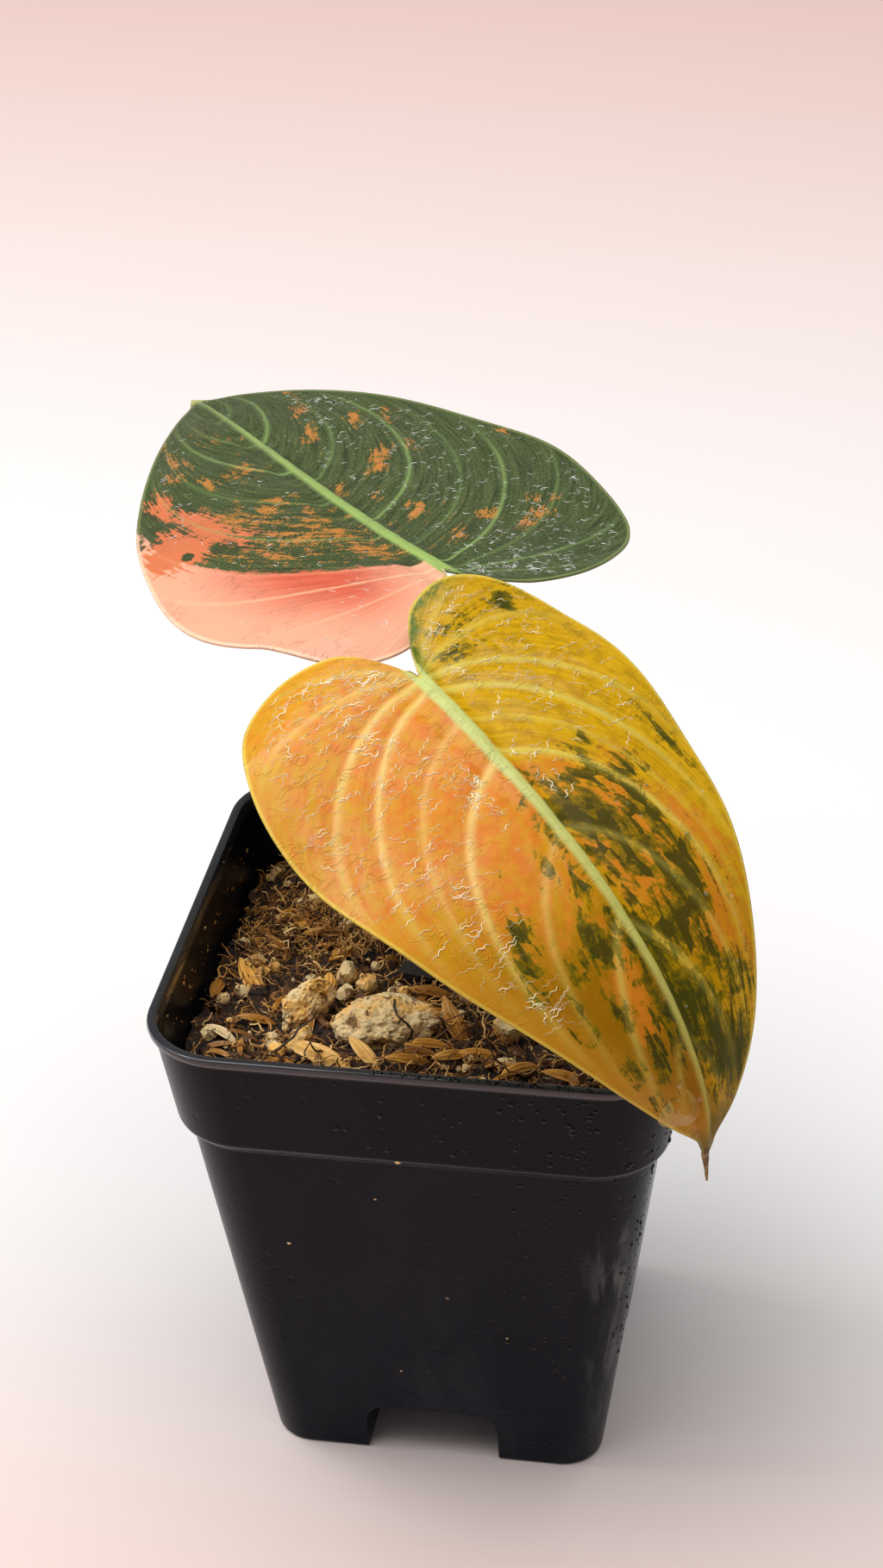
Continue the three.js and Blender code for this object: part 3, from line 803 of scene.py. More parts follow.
# x, y, length, width, height, lift, tint
CHOSEN_GRAINS = [
    (-28.3, 20.6, 5.4, 3.4, 3.2, 1.4, 0.9), (-17.1, -2.8, 4.4, 4.0, 4.0, 1.5, 0.5),
    (-13.2, -6.2, 3.9, 3.8, 4.2, 1.6, 0.75), (-16.5, -8.4, 3.6, 3.2, 3.2, 1.0, 0.4),
    (-8.1, -8.5, 2.2, 1.8, 1.8, 1.6, 0.95), (-6.3, -9.0, 2.8, 2.6, 2.6, 1.6, 0.9),
    (-20.8, -22.5, 4.6, 3.2, 3.4, 1.2, 0.85), (-25.6, -22.7, 3.6, 3.0, 2.6, 0.8, 0.6),
    (-24.2, -26.8, 3.6, 2.6, 2.4, 0.8, 0.7), (12.6, -18.7, 5.0, 4.4, 5.4, 1.6, 0.5),
    (13.5, -27.7, 2.8, 2.6, 2.6, 1.2, 0.9), (-20.5, 14.4, 4.6, 3.4, 3.0, 1.0, 0.7),
    (-33.5, -0.1, 3.0, 3.6, 3.4, 1.2, 0.4), (-31.6, -2.6, 2.6, 2.2, 2.2, 1.2, 0.6),
    (0.3, -15.0, 2.6, 2.4, 2.4, 1.0, 0.5), (-39.4, -24.9, 2.4, 2.0, 2.0, 0.8, 0.5),
    (-33.8, -8.8, 3.0, 2.6, 2.6, 1.0, 0.45),
]

hulls = [laid(hull_shapes[i % 3], x, y, lift + 0.4, (length, 1.15 * length, length), turn,
              (rise, tip), tint + 0.08)
         for i, (x, y, length, turn, tip, rise, lift, tint) in enumerate(CHOSEN_HULLS)]
for count in range(LOOSE["hulls"]):
    x, y = free_place()
    length = draw.uniform(4.0, 8.5)
    hulls.append(laid(draw.choice(hull_shapes), x, y, draw.uniform(0.3, 1.2), (length,) * 3,
                      draw.uniform(0, 360), (draw.gauss(0, 0.35), draw.gauss(0, 0.25)),
                      draw.uniform(0.0, 0.62)))
pile("rice_hulls", hulls, hull, crease=40)

grains = [laid(grain_shapes[i % 6], x, y, lift, (length, width, tall), 40 * i, (0, 0), tint)
          for i, (x, y, length, width, tall, lift, tint) in enumerate(CHOSEN_GRAINS)]
for count in range(LOOSE["grains"]):
    x, y = free_place()
    size = 0.8 + 2.2 * draw.random() ** 2
    grains.append(laid(draw.choice(grain_shapes), x, y, draw.uniform(0.2, 0.8), (size,) * 3,
                       draw.uniform(0, 360)))
pile("pale_grains", grains, pumice, crease=30)

chips = []
for count in range(LOOSE["chips"]):
    x, y = free_place(1.0, 0.9)
    size = draw.uniform(1.0, 4.2)
    chips.append(laid(draw.choice(chip_shapes), x, y, draw.uniform(-0.2, 0.6),
                      (size, size * draw.uniform(0.3, 0.7), size * draw.uniform(0.2, 0.5)),
                      draw.uniform(0, 360), (draw.gauss(0, 0.5), draw.gauss(0, 0.5))))
chips.append(laid(chip_shapes[0], -5.0, -1.0, 1.2, (9, 5, 6), 10, (0.2, 0.1), 0.0))
pile("bark_chips", chips, bark, crease=25)

fibres = []
for count in range(LOOSE["fibres"]):
    x, y = free_place(1.0, 0.95)
    size = draw.uniform(3.0, 7.5)
    fibres.append(laid(draw.choice(curl_shapes), x, y, draw.uniform(0.2, 2.0),
                       (size, size, size * 0.7),
                       draw.uniform(0, 360), (draw.uniform(0, 6.28), draw.gauss(0, 0.3))))
# Matted coir at the upper left, where no hulls cover it.
for count in range(LOOSE["matted"]):
    x, y = MATTED_AT[0] + draw.gauss(0, 8), MATTED_AT[1] + draw.gauss(0, 9)
    size = draw.uniform(3.0, 6.0)
    fibres.append(laid(draw.choice(curl_shapes), x, y, draw.uniform(0.8, 2.6),
                       (size, size, size * 0.8),
                       draw.uniform(0, 360), (draw.uniform(0, 6.28), draw.gauss(0, 0.5)),
                       draw.uniform(0.0, 0.95)))
pile("coir_fibres", fibres, fibre)

flakes = []
for count in range(LOOSE["flakes"]):
    z = FLAKES_TOP - 8 * draw.random() ** 0.6
    half, radius = room_at(z)
    size = 0.2 + 0.7 * draw.random() ** 3
    along = draw.uniform(-half + radius, half - radius)
    place = Matrix.Translation(at(-half - GAP + 0.1, along, z))
    shape = Matrix.Diagonal((0.3 * size * MM, size * MM, size * draw.uniform(0.3, 1.5) * MM, 1.0))
    flakes.append((draw.choice(chip_shapes), place @ shape, draw.uniform(0.1, 0.9)))
for x, y, z, size in ((-6.6, -37.1, 61.2, 0.6), (-21.8, -35.4, 49.1, 0.6), (-2.0, -40.3, 71.6, 0.9),
                      (-4.6, -31.2, 20.3, 0.4), (14.0, -33.0, 31.0, 0.3)):
    shape = Matrix.Diagonal((1.5 * size * MM, 0.4 * MM, size * MM, 1.0))
    flakes.append((chip_shapes[1], Matrix.Translation(at(x, y, z)) @ shape, 0.95))
pile("wall_flakes", flakes, hull, walled=False)

roots = []
for count in range(LOOSE["roots"]):
    x, y = free_place(3.0, 0.6)
    size = draw.uniform(9, 18)
    roots.append(laid(draw.choice(root_shapes), x, y, draw.uniform(0.8, 2.0),
                      (size, size, size * 0.5),
                      draw.uniform(0, 360), (draw.uniform(0, 6.28), draw.gauss(0, 0.15))))
pile("thin_roots", roots, rootlet)

# %% [markdown]
# ## Pumice stones
# Two pale stones lie half sunk in the mix. Pumice is a foam: blunt knobs make its outline, and
# small hollows cover it. A finely divided icosphere is pushed out at a few knobs and in at each
# hollow, and the last fine grit is left to the bump. A thin dark root lies bent over the large
# stone, found by casting rays onto it from all round.

# %% Stones
STONE_FORMS = {
    "pumice_large": ((8.9, 5.6, 4.6), (-7.4, -18.2, 82.6), 0.1, 3.0, 0.0),
    "pumice_small": ((4.2, 3.2, 4.7), (-21.6, -14.6, 82.4), 0.5, 8.0, 0.35),
}
for node, (half, centre, turn, seed, lean) in STONE_FORMS.items():
    stone = bmesh.new()
    bmesh.ops.create_icosphere(stone, subdivisions=6, radius=1.0)
    shift = Vector((seed, seed * 1.7, seed * 0.6))
    for vert in stone.verts:
        spot = vert.co * Vector(half)
        knob = 0.15 * noise.noise(vert.co * 1.7 + shift) + 0.07 * noise.noise(spot * 0.5 + shift)
        rough = noise.fractal(spot * 1.1 + shift, 0.7, 2.0, 4)
        hollow = max(0.0, noise.noise(spot * 0.75 - shift) - 0.12)
        pit = max(0.0, noise.noise(spot * 2.1 + shift) - 0.2)
        vert.co = spot * (0.98 + knob) + vert.co * (0.22 * rough - 1.0 * hollow - 1.0 * pit)
        vert.co.x += lean * vert.co.z
    bmesh.ops.rotate(stone, cent=(0, 0, 0), matrix=Matrix.Rotation(turn, 3, "Z"), verts=stone.verts)
    bmesh.ops.scale(stone, vec=(MM, MM, MM), verts=stone.verts)
    bmesh.ops.translate(stone, vec=at(*centre), verts=stone.verts)
    if node == "pumice_large":
        skin = bvhtree.BVHTree.FromBMesh(stone)
    piece_from(mesh_from(stone, node), node + "_stone", [pumice], [node])

ROOT_HEADINGS = [(0.25, 0.1, 0.9), (0.30, -0.25, 0.8), (0.42, -0.50, 0.62), (0.66, -0.55, 0.35),
                 (0.72, -0.62, 0.12), (0.62, -0.72, -0.05)]
ROOT_STEPS, ROOT_RADIUS = 24, 0.17
middle, path = at(*STONE_FORMS["pumice_large"][1]), []
for outward in smooth_path(ROOT_HEADINGS, ROOT_STEPS):
    outward.normalize()
    path.append(skin.ray_cast(middle + outward * 30 * MM, -outward)[0] + outward * 0.25 * MM)
root = tube_mesh("bent_root", path, [ROOT_RADIUS * MM] * len(path), 6)
tint_all(root, 0.05)
piece_from(root, "root_over_stone", [rootlet])

# %% [markdown]
# ## Leaves: the flat pattern
# A philodendron blade is easiest to think of flat: a heart with the petiole at the origin and the
# tip at (0, 1). Its side veins leave the midrib and arch towards the tip. A family of Bezier curves
# follows them, from the midrib to the outline, and the mesh runs along those curves, so veins,
# panels between them and colour streaks all follow the mesh as they do on a real leaf.

# %% Flat leaf
OUTLINE = [
    (0, 0), (0.028, -0.065), (0.085, -0.125), (0.17, -0.145), (0.26, -0.105), (0.325, -0.015),
    (0.352, 0.1), (0.345, 0.26), (0.302, 0.44), (0.232, 0.61), (0.148, 0.77), (0.068, 0.89),
    (0.022, 0.945), (0.01, 0.975), (0, 1),
]
# Where each curve leaves the midrib, its two inner control points, and where it meets the outline.
VEIN_CURVES = [
    (0.0, 0.020, -0.045, 0.050, -0.095, 0.132), (0.0, 0.050, -0.050, 0.110, -0.120, 0.225),
    (0.0, 0.085, -0.055, 0.215, -0.120, 0.325), (0.0, 0.140, -0.045, 0.315, -0.010, 0.450),
    (0.01, 0.160, 0.000, 0.330, 0.130, 0.530), (0.03, 0.166, 0.050, 0.318, 0.240, 0.597),
    (0.11, 0.188, 0.160, 0.285, 0.370, 0.665), (0.20, 0.190, 0.273, 0.245, 0.490, 0.718),
    (0.36, 0.145, 0.430, 0.178, 0.635, 0.757), (0.52, 0.080, 0.600, 0.105, 0.765, 0.795),
    (0.70, 0.045, 0.760, 0.055, 0.860, 0.835), (0.86, 0.016, 0.885, 0.022, 0.920, 0.885),
    (1.0, 0.0, 1.0, 0.0, 1.0, 1.0),
]


def vein_curve(lane):
    """The four control points of the curve at a lane, 0 at the lobe and 1 at the tip."""
    start, ax, ay, bx, by, end = smooth_row(VEIN_CURVES, lane)
    return (Vector((0, max(start, 0))), Vector((ax, ay)), Vector((bx, by)),
            Vector(smooth_row(OUTLINE, end)))


def on_curve(points, share):
    p0, p1, p2, p3 = points
    rest = 1 - share
    inner = p1 * 3 * rest ** 2 * share + p2 * 3 * rest * share ** 2
    return p0 * rest ** 3 + inner + p3 * share ** 3


# %% [markdown]
# ## Leaves: bending the pattern
# Each leaf then bends the flat pattern: the midrib arches over, the halves rise or cup away from
# it, the lobes lift, and the margin waves. The numbers are those of the CAD source, so both
# models have the same form. A small lift on top of that gives the sunken veins, the swollen
# panels between them and the fine wrinkles.

# %% Bent leaf
LEAVES = {
    "front": {
        "junction": (1.1, -25.2, 152.5), "length": 93.7, "turn": (-22, 2.8, -129.5),
        "bend": (0.04, 1.42), "sweep": -0.055, "twist": -0.03, "waves": (0.8, 2.6, 0.4),
        "right": (1.01, -0.11, 0.48, -1.28), "left": (1.0, 0.03, 0.36, 0.41),
        "petiole": [(1, -3, 108), (-0.5, -14, 130)],
    },
    "back": {
        "junction": (-1, 9.4, 152.5), "length": 99, "turn": (-2.6, 23.7, 45.8),
        "bend": (-0.21, 0.31), "sweep": 0.18, "twist": 0.24, "waves": (0.6, 2.2, 3.4),
        "right": (1.055, 0.35, -0.12, 0.18), "left": (0.99, -0.23, 0.8, -1.16),
        "petiole": [(-0.5, 4.5, 108), (-3.5, 5.5, 130)],
    },
}
SPINE_STEPS = 400
for leaf in LEAVES.values():
    forward, drop, leaf["spine"] = 0.0, 0.0, [(0.0, 0.0)]
    for step in range(SPINE_STEPS):
        v = (step + 0.5) / SPINE_STEPS
        slope = leaf["bend"][0] * v + leaf["bend"][1] * v * v
        forward += math.cos(slope) / SPINE_STEPS
        drop += math.sin(slope) / SPINE_STEPS
        leaf["spine"].append((forward, drop))
    pitch, roll, heading = (math.radians(angle) for angle in leaf["turn"])
    turned = Matrix.Rotation(heading, 4, "Z") @ Matrix.Rotation(roll, 4, "Y") @ Matrix.Rotation(
        pitch, 4, "X")
    leaf["place"] = Matrix.Translation(at(*leaf["junction"])) @ turned @ Matrix.Scale(MM, 4)


def bent(leaf, across, along, lift=0.0):
    """Where a flat point lies on the bent leaf, in the row frame. The lift is in millimetres."""
    wide, tilt, cup, lobe = leaf["right"] if across > 0 else leaf["left"]
    length = leaf["length"]
    v = min(max(along, 0.0), 1.0)
    place = min(int(v * SPINE_STEPS), SPINE_STEPS - 1)
    share = v * SPINE_STEPS - place
    (f0, d0), (f1, d1) = leaf["spine"][place], leaf["spine"][place + 1]
    forward, drop = f0 + (f1 - f0) * share, d0 + (d1 - d0) * share
    slope = leaf["bend"][0] * v + leaf["bend"][1] * v * v
    x = across * wide
    reach, behind = abs(x), min(along, 0.0)
    height, count, phase = leaf["waves"]
    side = (across > 0) - (across < 0)
    rise = (tilt * reach - cup * reach * reach + 10 * lobe * behind * behind * reach
            + leaf["twist"] * v * x + lift / length
            + height / length * (reach / 0.35) ** 3
            * math.sin(2 * math.pi * count * v + phase + side))
    flat = Vector((x + leaf["sweep"] * v * v, forward + behind + rise * math.sin(slope),
                   rise * math.cos(slope) - drop))
    return leaf["place"] @ (flat * length)


# %% [markdown]
# ## Leaves: the mesh
# One grid makes a blade: its columns run from the left margin through the midrib to the right
# margin, and its rows are the vein curves. Each vertex also keeps its flat place, its lane and
# its distance to the nearest main vein and to the margin, which the materials read later.

# %% Blade mesh
# Lane and strength of each main vein on the right (1) and left (-1) half of both leaves.
MAIN_VEINS = {
    "front": {1: ((0.1, 0.5), (0.21, 0.6), (0.335, 1.0), (0.42, 1.0), (0.50, 0.5), (0.583, 1.0),
                  (0.667, 0.5), (0.75, 0.8), (0.85, 0.4)),
              -1: ((0.1, 0.5), (0.21, 0.6), (0.33, 0.9), (0.43, 1.0), (0.50, 0.4), (0.57, 1.0),
                   (0.66, 0.6), (0.755, 0.7), (0.85, 0.3))},
    "back": {1: ((0.1, 0.5), (0.2, 0.8), (0.31, 0.4), (0.415, 1.0), (0.50, 0.4), (0.60, 1.0),
                 (0.70, 0.4), (0.80, 0.9), (0.88, 0.3)),
             -1: ((0.1, 0.8), (0.22, 0.5), (0.33, 0.9), (0.42, 0.3), (0.55, 0.6), (0.65, 0.4),
                  (0.73, 0.9), (0.80, 0.4), (0.88, 0.3))},
}
BLADE_ROWS, BLADE_COLUMNS = 300, 60
BLADE_THICKNESS = 0.45
lane_curves = [vein_curve(row / BLADE_ROWS) for row in range(BLADE_ROWS + 1)]


def bell(distance, width):
    return math.exp(-(distance / width) ** 2)


VEIN_POINTS = 160


def main_vein_tree(veins, length):
    tree = kdtree.KDTree(len(veins) * VEIN_POINTS)
    for number, (lane, strength) in enumerate(veins):
        curve = vein_curve(lane)
        for step in range(VEIN_POINTS):
            spot = on_curve(curve, step / (VEIN_POINTS - 1)) * length
            tree.insert((*spot, 0), number)
    tree.balance()
    return tree


def outline_tree(length):
    tree = kdtree.KDTree(601)
    for step in range(601):
        tree.insert((*(Vector(smooth_row(OUTLINE, step / 600)) * length), 0), step)
    tree.balance()
    return tree


# Lift of the panels between the veins, and half width of the groove along a vein.
SWELL = {"front": (0.34, 2.0), "back": (0.12, 1.1)}
VEIN_RIDGE, WRINKLES = (0.12, 0.5), ((0.10, 0.3), (0.05, 0.9))
FLAT_EDGE = 4.0
NOISE_SHIFT = {"front": Vector((3.0, 7.0, 1.0)), "back": Vector((9.0, 2.0, 5.0))}


def relief_of(name):
    """A function of a flat place: its lift above the bent sheet and what it lies near."""
    length = LEAVES[name]["length"]
    veins = {side: main_vein_tree(lanes, length) for side, lanes in MAIN_VEINS[name].items()}
    margin = outline_tree(length)
    swell, groove = SWELL[name]

    def relief(across, along):
        side = -1 if across < 0 else 1
        spot = Vector((abs(across) * length, along * length, 0))
        number, to_vein = veins[side].find(spot)[1:]
        strength = MAIN_VEINS[name][side][number][1]
        to_margin = margin.find(spot)[2]
        inner = min(1.0, to_margin / FLAT_EDGE)
        panel = swell * (1 - strength * bell(to_vein, groove)) * inner
        ridge = VEIN_RIDGE[0] * strength * bell(to_vein, VEIN_RIDGE[1]) * inner
        rib_width = 1.7 * max(0.0, 1 - 0.8 * max(along, 0)) + 0.25
        rib = 0.55 * bell(spot.x, rib_width) - 0.5 * bell(spot.x - 1.6 * rib_width, rib_width)
        signed = Vector((across * length, along * length, 0))
        wrinkle = sum(height * noise.noise(signed * scale + NOISE_SHIFT[name])
                      for height, scale in WRINKLES)
        lift = panel + ridge + rib * min(1.0, to_margin / 3) + wrinkle * inner
        return lift, strength, to_vein, to_margin

    return relief


RELIEF = {name: relief_of(name) for name in LEAVES}
VEIN_WIDTH = {"front": 0.66, "back": 0.32}
LINE_CROWDING = 1.15


def blade(name):
    leaf = LEAVES[name]
    form = bmesh.new()
    bmesh.ops.create_grid(form, x_segments=2 * BLADE_COLUMNS, y_segments=BLADE_ROWS, size=1.0)
    layers = {key: form.verts.layers.float.new(key) for key in (
        "across", "along", "lane", "share", "vein", "to_margin")}
    for vert in form.verts:
        share, row = vert.co.x, round((vert.co.y + 1) / 2 * BLADE_ROWS)
        side = -1 if share < 0 else 1
        flat = on_curve(lane_curves[row], abs(share) ** LINE_CROWDING)
        lift, strength, to_vein, to_margin = RELIEF[name](flat.x * side, flat.y)
        line = strength * bell(to_vein, VEIN_WIDTH[name]) * (1 - abs(share) ** 3)
        values = (flat.x * side, flat.y, row / BLADE_ROWS, abs(share), line, to_margin)
        for layer, value in zip(layers.values(), values):
            vert[layer] = value
        vert.co = bent(leaf, flat.x * side, flat.y, lift)
    bmesh.ops.remove_doubles(form, verts=form.verts, dist=0.02 * MM)
    bmesh.ops.dissolve_degenerate(form, edges=form.edges, dist=0.002 * MM)
    bmesh.ops.recalc_face_normals(form, faces=form.faces[:])
    if sum(face.normal.z for face in form.faces) < 0:
        bmesh.ops.reverse_faces(form, faces=form.faces[:])
    return mesh_from(form, name + "_blade")


blades = {name: blade(name) for name in LEAVES}
for name, mesh in blades.items():
    print(name, "blade has", len(mesh.polygons), "faces")

# %% [markdown]
# ## Leaves: where the colours lie
# Variegation is drawn with soft dabs in the flat pattern, one number per dab for place, size and
# strength. Noise stretched along the lanes then breaks every dab into streaks that stop at the
# veins. The dabs are kept on the mesh as an attribute, and the streaks are the shader's work.

# %% Dabs of colour
# across, along, half width, half length, turn in degrees, strength
GREEN_ON_FRONT = [
    (-0.05, 0.35, 0.055, 0.07, 25, 1.1), (-0.09, 0.43, 0.06, 0.08, 30, 0.92),
    (-0.16, 0.42, 0.025, 0.11, 10, 0.9), (-0.13, 0.52, 0.04, 0.07, 10, 0.98),
    (-0.08, 0.57, 0.06, 0.08, 20, 0.86), (-0.02, 0.60, 0.035, 0.08, 10, 1.05),
    (-0.03, 0.70, 0.06, 0.09, 15, 1.1), (-0.07, 0.80, 0.05, 0.09, 15, 1.25),
    (-0.10, 0.64, 0.03, 0.06, 10, 0.8), (-0.11, 0.31, 0.04, 0.04, 35, 0.75),
    (-0.14, 0.69, 0.03, 0.04, 20, 0.85), (-0.19, 0.31, 0.03, 0.04, 30, 0.72),
    (-0.14, 0.25, 0.03, 0.03, 30, 0.66), (-0.30, 0.30, 0.02, 0.08, 5, 0.62),
    (-0.24, -0.07, 0.04, 0.022, 20, 0.85), (-0.10, -0.01, 0.05, 0.015, 0, 0.8),
    (-0.12, -0.06, 0.05, 0.015, 10, 0.62), (-0.03, 0.45, 0.03, 0.05, 20, 0.62),
    (0.055, 0.55, 0.03, 0.045, -20, 1.0), (0.025, 0.44, 0.02, 0.05, -20, 0.7),
    (0.165, 0.50, 0.02, 0.07, -15, 0.85), (0.05, 0.76, 0.02, 0.05, -10, 0.95),
    (0.05, 0.40, 0.02, 0.03, -10, 0.65), (0.10, 0.75, 0.015, 0.04, 0, 0.78),
    (0.14, 0.66, 0.02, 0.04, 0, 0.7), (0.12, 0.58, 0.02, 0.05, -10, 0.66),
    (0.08, 0.66, 0.02, 0.04, -10, 0.68), (0.07, 0.84, 0.02, 0.03, -10, 0.66),
]
# Orange-brown ground that shows between the green patches.
WARM_ON_FRONT = [
    (-0.10, 0.45, 0.08, 0.22, 15, 0.9), (-0.22, 0.45, 0.04, 0.14, 10, 0.6),
    (0.05, 0.64, 0.03, 0.10, -5, 0.9), (-0.22, 0.12, 0.10, 0.06, 20, 0.35),
    (-0.17, 0.30, 0.06, 0.06, 20, 0.55), (-0.13, 0.36, 0.05, 0.05, 20, 0.8),
    (-0.12, 0.60, 0.05, 0.07, 15, 0.75), (-0.06, 0.52, 0.03, 0.05, 20, 0.7),
]
LOBE_EDGE = [(-0.02, -0.03, 0.012, 0.04, -20, 1.3), (-0.05, -0.085, 0.012, 0.04, -45, 1.3),
             (-0.11, -0.13, 0.012, 0.05, -75, 1.2), (-0.18, -0.145, 0.008, 0.05, -90, 0.9)]
PEACH_ON_FRONT = [(0.12, 0.20, 0.13, 0.26, 0, 1.0), (0.20, -0.02, 0.10, 0.10, 0, 0.7),
                  (0.27, 0.20, 0.08, 0.24, 0, 0.7)]
ORANGE_ON_BACK = [
    (-0.12, 0.25, 0.09, 0.14, 40, 0.62), (-0.17, 0.36, 0.06, 0.10, 30, 0.66),
    (-0.06, 0.14, 0.04, 0.08, 40, 0.66), (-0.155, 0.64, 0.02, 0.04, -10, 0.62),
    (-0.09, 0.39, 0.04, 0.03, 20, 0.62), (-0.07, 0.55, 0.035, 0.04, 20, 0.62),
    (-0.13, 0.56, 0.02, 0.04, 0, 0.58), (-0.13, 0.71, 0.015, 0.06, 0, 0.55),
    (-0.05, 0.74, 0.03, 0.10, 10, 0.38), (-0.13, 0.81, 0.015, 0.04, -25, 0.66),
    (0.12, 0.42, 0.016, 0.05, -35, 0.78), (0.21, 0.065, 0.035, 0.025, 35, 0.70),
    (0.10, 0.71, 0.014, 0.03, 0, 0.74), (0.15, 0.59, 0.013, 0.035, -15, 0.72),
    (0.075, 0.60, 0.014, 0.05, -15, 0.6), (0.08, 0.21, 0.018, 0.04, -30, 0.64),
    (0.08, 0.095, 0.035, 0.02, 40, 0.64), (0.16, 0.13, 0.02, 0.02, -30, 0.68),
    (0.25, 0.12, 0.02, 0.02, -30, 0.6), (0.32, 0.35, 0.010, 0.03, 0, 0.62),
    (0.03, 0.37, 0.014, 0.04, -10, 0.6), (0.06, 0.31, 0.012, 0.03, -30, 0.5),
    (0.12, 0.80, 0.012, 0.05, 0, 0.5), (0.18, 0.43, 0.010, 0.03, -20, 0.52),
    (0.20, 0.56, 0.014, 0.04, -20, 0.5),
]
ROSY_ON_BACK = [(-0.20, 0.42, 0.018, 0.12, 5, 1.0), (-0.215, 0.56, 0.02, 0.06, -5, 0.85),
                (-0.26, 0.385, 0.045, 0.05, 0, 1.1), (-0.16, 0.33, 0.02, 0.04, 30, 0.6),
                (-0.24, 0.44, 0.03, 0.04, 0, 0.7)]
GREEN_ON_PINK = [
    (-0.26, 0.35, 0.010, 0.014, 0, 0.95), (-0.22, 0.32, 0.012, 0.014, 0, 0.95),
    (-0.205, 0.295, 0.012, 0.010, 0, 0.9), (-0.04, 0.055, 0.018, 0.012, -30, 1.0),
    (-0.29, 0.49, 0.02, 0.05, 0, 0.75), (-0.15, 0.20, 0.012, 0.012, 0, 0.7),
    (-0.25, 0.50, 0.015, 0.02, 0, 0.75), (-0.235, 0.55, 0.010, 0.05, 0, 0.66),
]


def dabbed(across, along, dabs):
    """How strongly the dabs colour one flat place, 0 for not at all."""
    total = 0.0
    for x, y, half_wide, half_long, turn, strength in dabs:
        dx, dy = across - x, along - y
        angle = math.radians(turn)
        u = (dx * math.cos(angle) + dy * math.sin(angle)) / half_wide
        v = (dy * math.cos(angle) - dx * math.sin(angle)) / half_long
        total = max(total, strength * math.exp(-0.55 * (u * u + v * v)))
    return total


DABS = {
    "front": {"green": GREEN_ON_FRONT, "warm": WARM_ON_FRONT, "lobe_edge": LOBE_EDGE,
              "peach": PEACH_ON_FRONT},
    "back": {"orange": ORANGE_ON_BACK, "rosy": ROSY_ON_BACK, "islands": GREEN_ON_PINK},
}
for name, kinds in DABS.items():
    mesh, places = blades[name], []
    for source in ("across", "along"):
        values = [0.0] * len(mesh.vertices)
        mesh.attributes[source].data.foreach_get("value", values)
        places.append(values)
    for key, dabs in kinds.items():
        layer = mesh.attributes.new(key, "FLOAT", "POINT")
        layer.data.foreach_set("value", [dabbed(x, y, dabs) for x, y in zip(*places)])
        print(name, "leaf has", len(dabs), key, "dabs")

# %% [markdown]
# ## Leaves: the finishes
# Both blades share one recipe: streaky cells along the lanes, pale main veins, a broad pale
# midrib, a thin pale margin, fine lines between the veins, and a wet film where water was
# sprayed. Only the colours and the rule that mixes them differ.


# %% Leaf recipe
class LeafFinish(Finish):
    """A finish with the measures of the flat pattern at hand."""

    def __init__(self, name, **constants):
        super().__init__(name, **constants)
        keys = ("across", "along", "lane", "share", "vein", "to_margin")
        for key in keys:
            setattr(self, key, self.drawn(key))
        self.side = self.across.step(-0.0005, 0.0005)
        self.flat = self.add("ShaderNodeCombineXYZ", inputs={0: self.across, 1: self.along})
        self.lanes = self.add("ShaderNodeCombineXYZ",
                              inputs={0: self.lane + self.side * 3.0, 1: self.share})
        self.to_rib = self.across.size()

    def streaks(self, lanes_scale, along_scale, detail=3.0):
        stretched = self.spread(self.lanes, (lanes_scale, along_scale, 1.0))
        return self.clouds(stretched, 1.0, detail, 0.6)

    def midrib(self, half_width):
        """1 on the midrib, which narrows from the junction to the tip."""
        half = half_width * (1 - 0.85 * self.along).at_least(0.05)
        return (half - self.to_rib).step(-0.004, 0.004)

    def blocks(self, lanes_scale, along_scale):
        """One random value for each small block between two fine veins."""
        stretched = self.spread(self.lanes, (lanes_scale, along_scale, 1.0))
        return self.cells(stretched, 1.0, "Color")

    def relief(self, wet):
        lines = self.add("ShaderNodeTexWave", {"wave_profile": "SIN"}, {
            "Vector": self.lanes, "Scale": 24.0, "Distortion": 1.2, "Detail": 1.0})
        puckers = self.clouds(self.flat, 55.0, 2, 0.5)
        ripples = self.clouds(self.spread(self.flat, (30.0, 62.0, 1.0)), 1.0, 2, 0.5, 0.9)
        broken = self.clouds(self.flat, 34.0, 1, 0.5).step(0.46, 0.56)
        film = (ripples - 0.5).size().step(0.05, 0.0) * broken
        height = lines * 0.06 + puckers * 0.34 + film * wet * 0.35
        return self.bump(height, 0.00035, 0.8)


gold = LeafFinish("golden_blade", Coat_IOR=1.33, Coat_Roughness=0.08, Specular_IOR_Level=0.1)
streak = gold.streaks(150, 5.0, 4)
blotch = gold.streaks(60, 9.0, 2)
fleck = gold.clouds(gold.flat, 40, 3, 0.6)
speck = gold.clouds(gold.flat, 120, 2, 0.6)
block = gold.blocks(54.0, 18.0)
base = gold.mix(rgb(204, 160, 4), rgb(180, 130, 0), streak.step(0.3, 0.7) * 0.8)
base = gold.mix(base, rgb(146, 98, 0), gold.along.step(0.3, 0.62) * (0.32 + 0.6 * gold.side))
base = gold.mix(base, gold.mix(rgb(200, 156, 20), rgb(204, 144, 36), gold.side),
                gold.to_margin.step(8.0, 1.0) * 0.6)
varied = (fleck * 0.5 + blotch * 0.5).step(0.46, 0.6) * (1 - gold.side)
base = gold.mix(base, rgb(150, 116, 2), varied * 0.55)
peach = gold.drawn("peach") + streak.swing(0.5) + blotch.swing(0.9)
peach = peach.step(0.2, 0.8) * gold.side
base = gold.mix(base, gold.mix(rgb(208, 116, 32), rgb(204, 138, 30), fleck.step(0.35, 0.65)),
                peach)
warm = gold.drawn("warm") + blotch.swing(0.5) + fleck.swing(0.5) + block.swing(0.2)
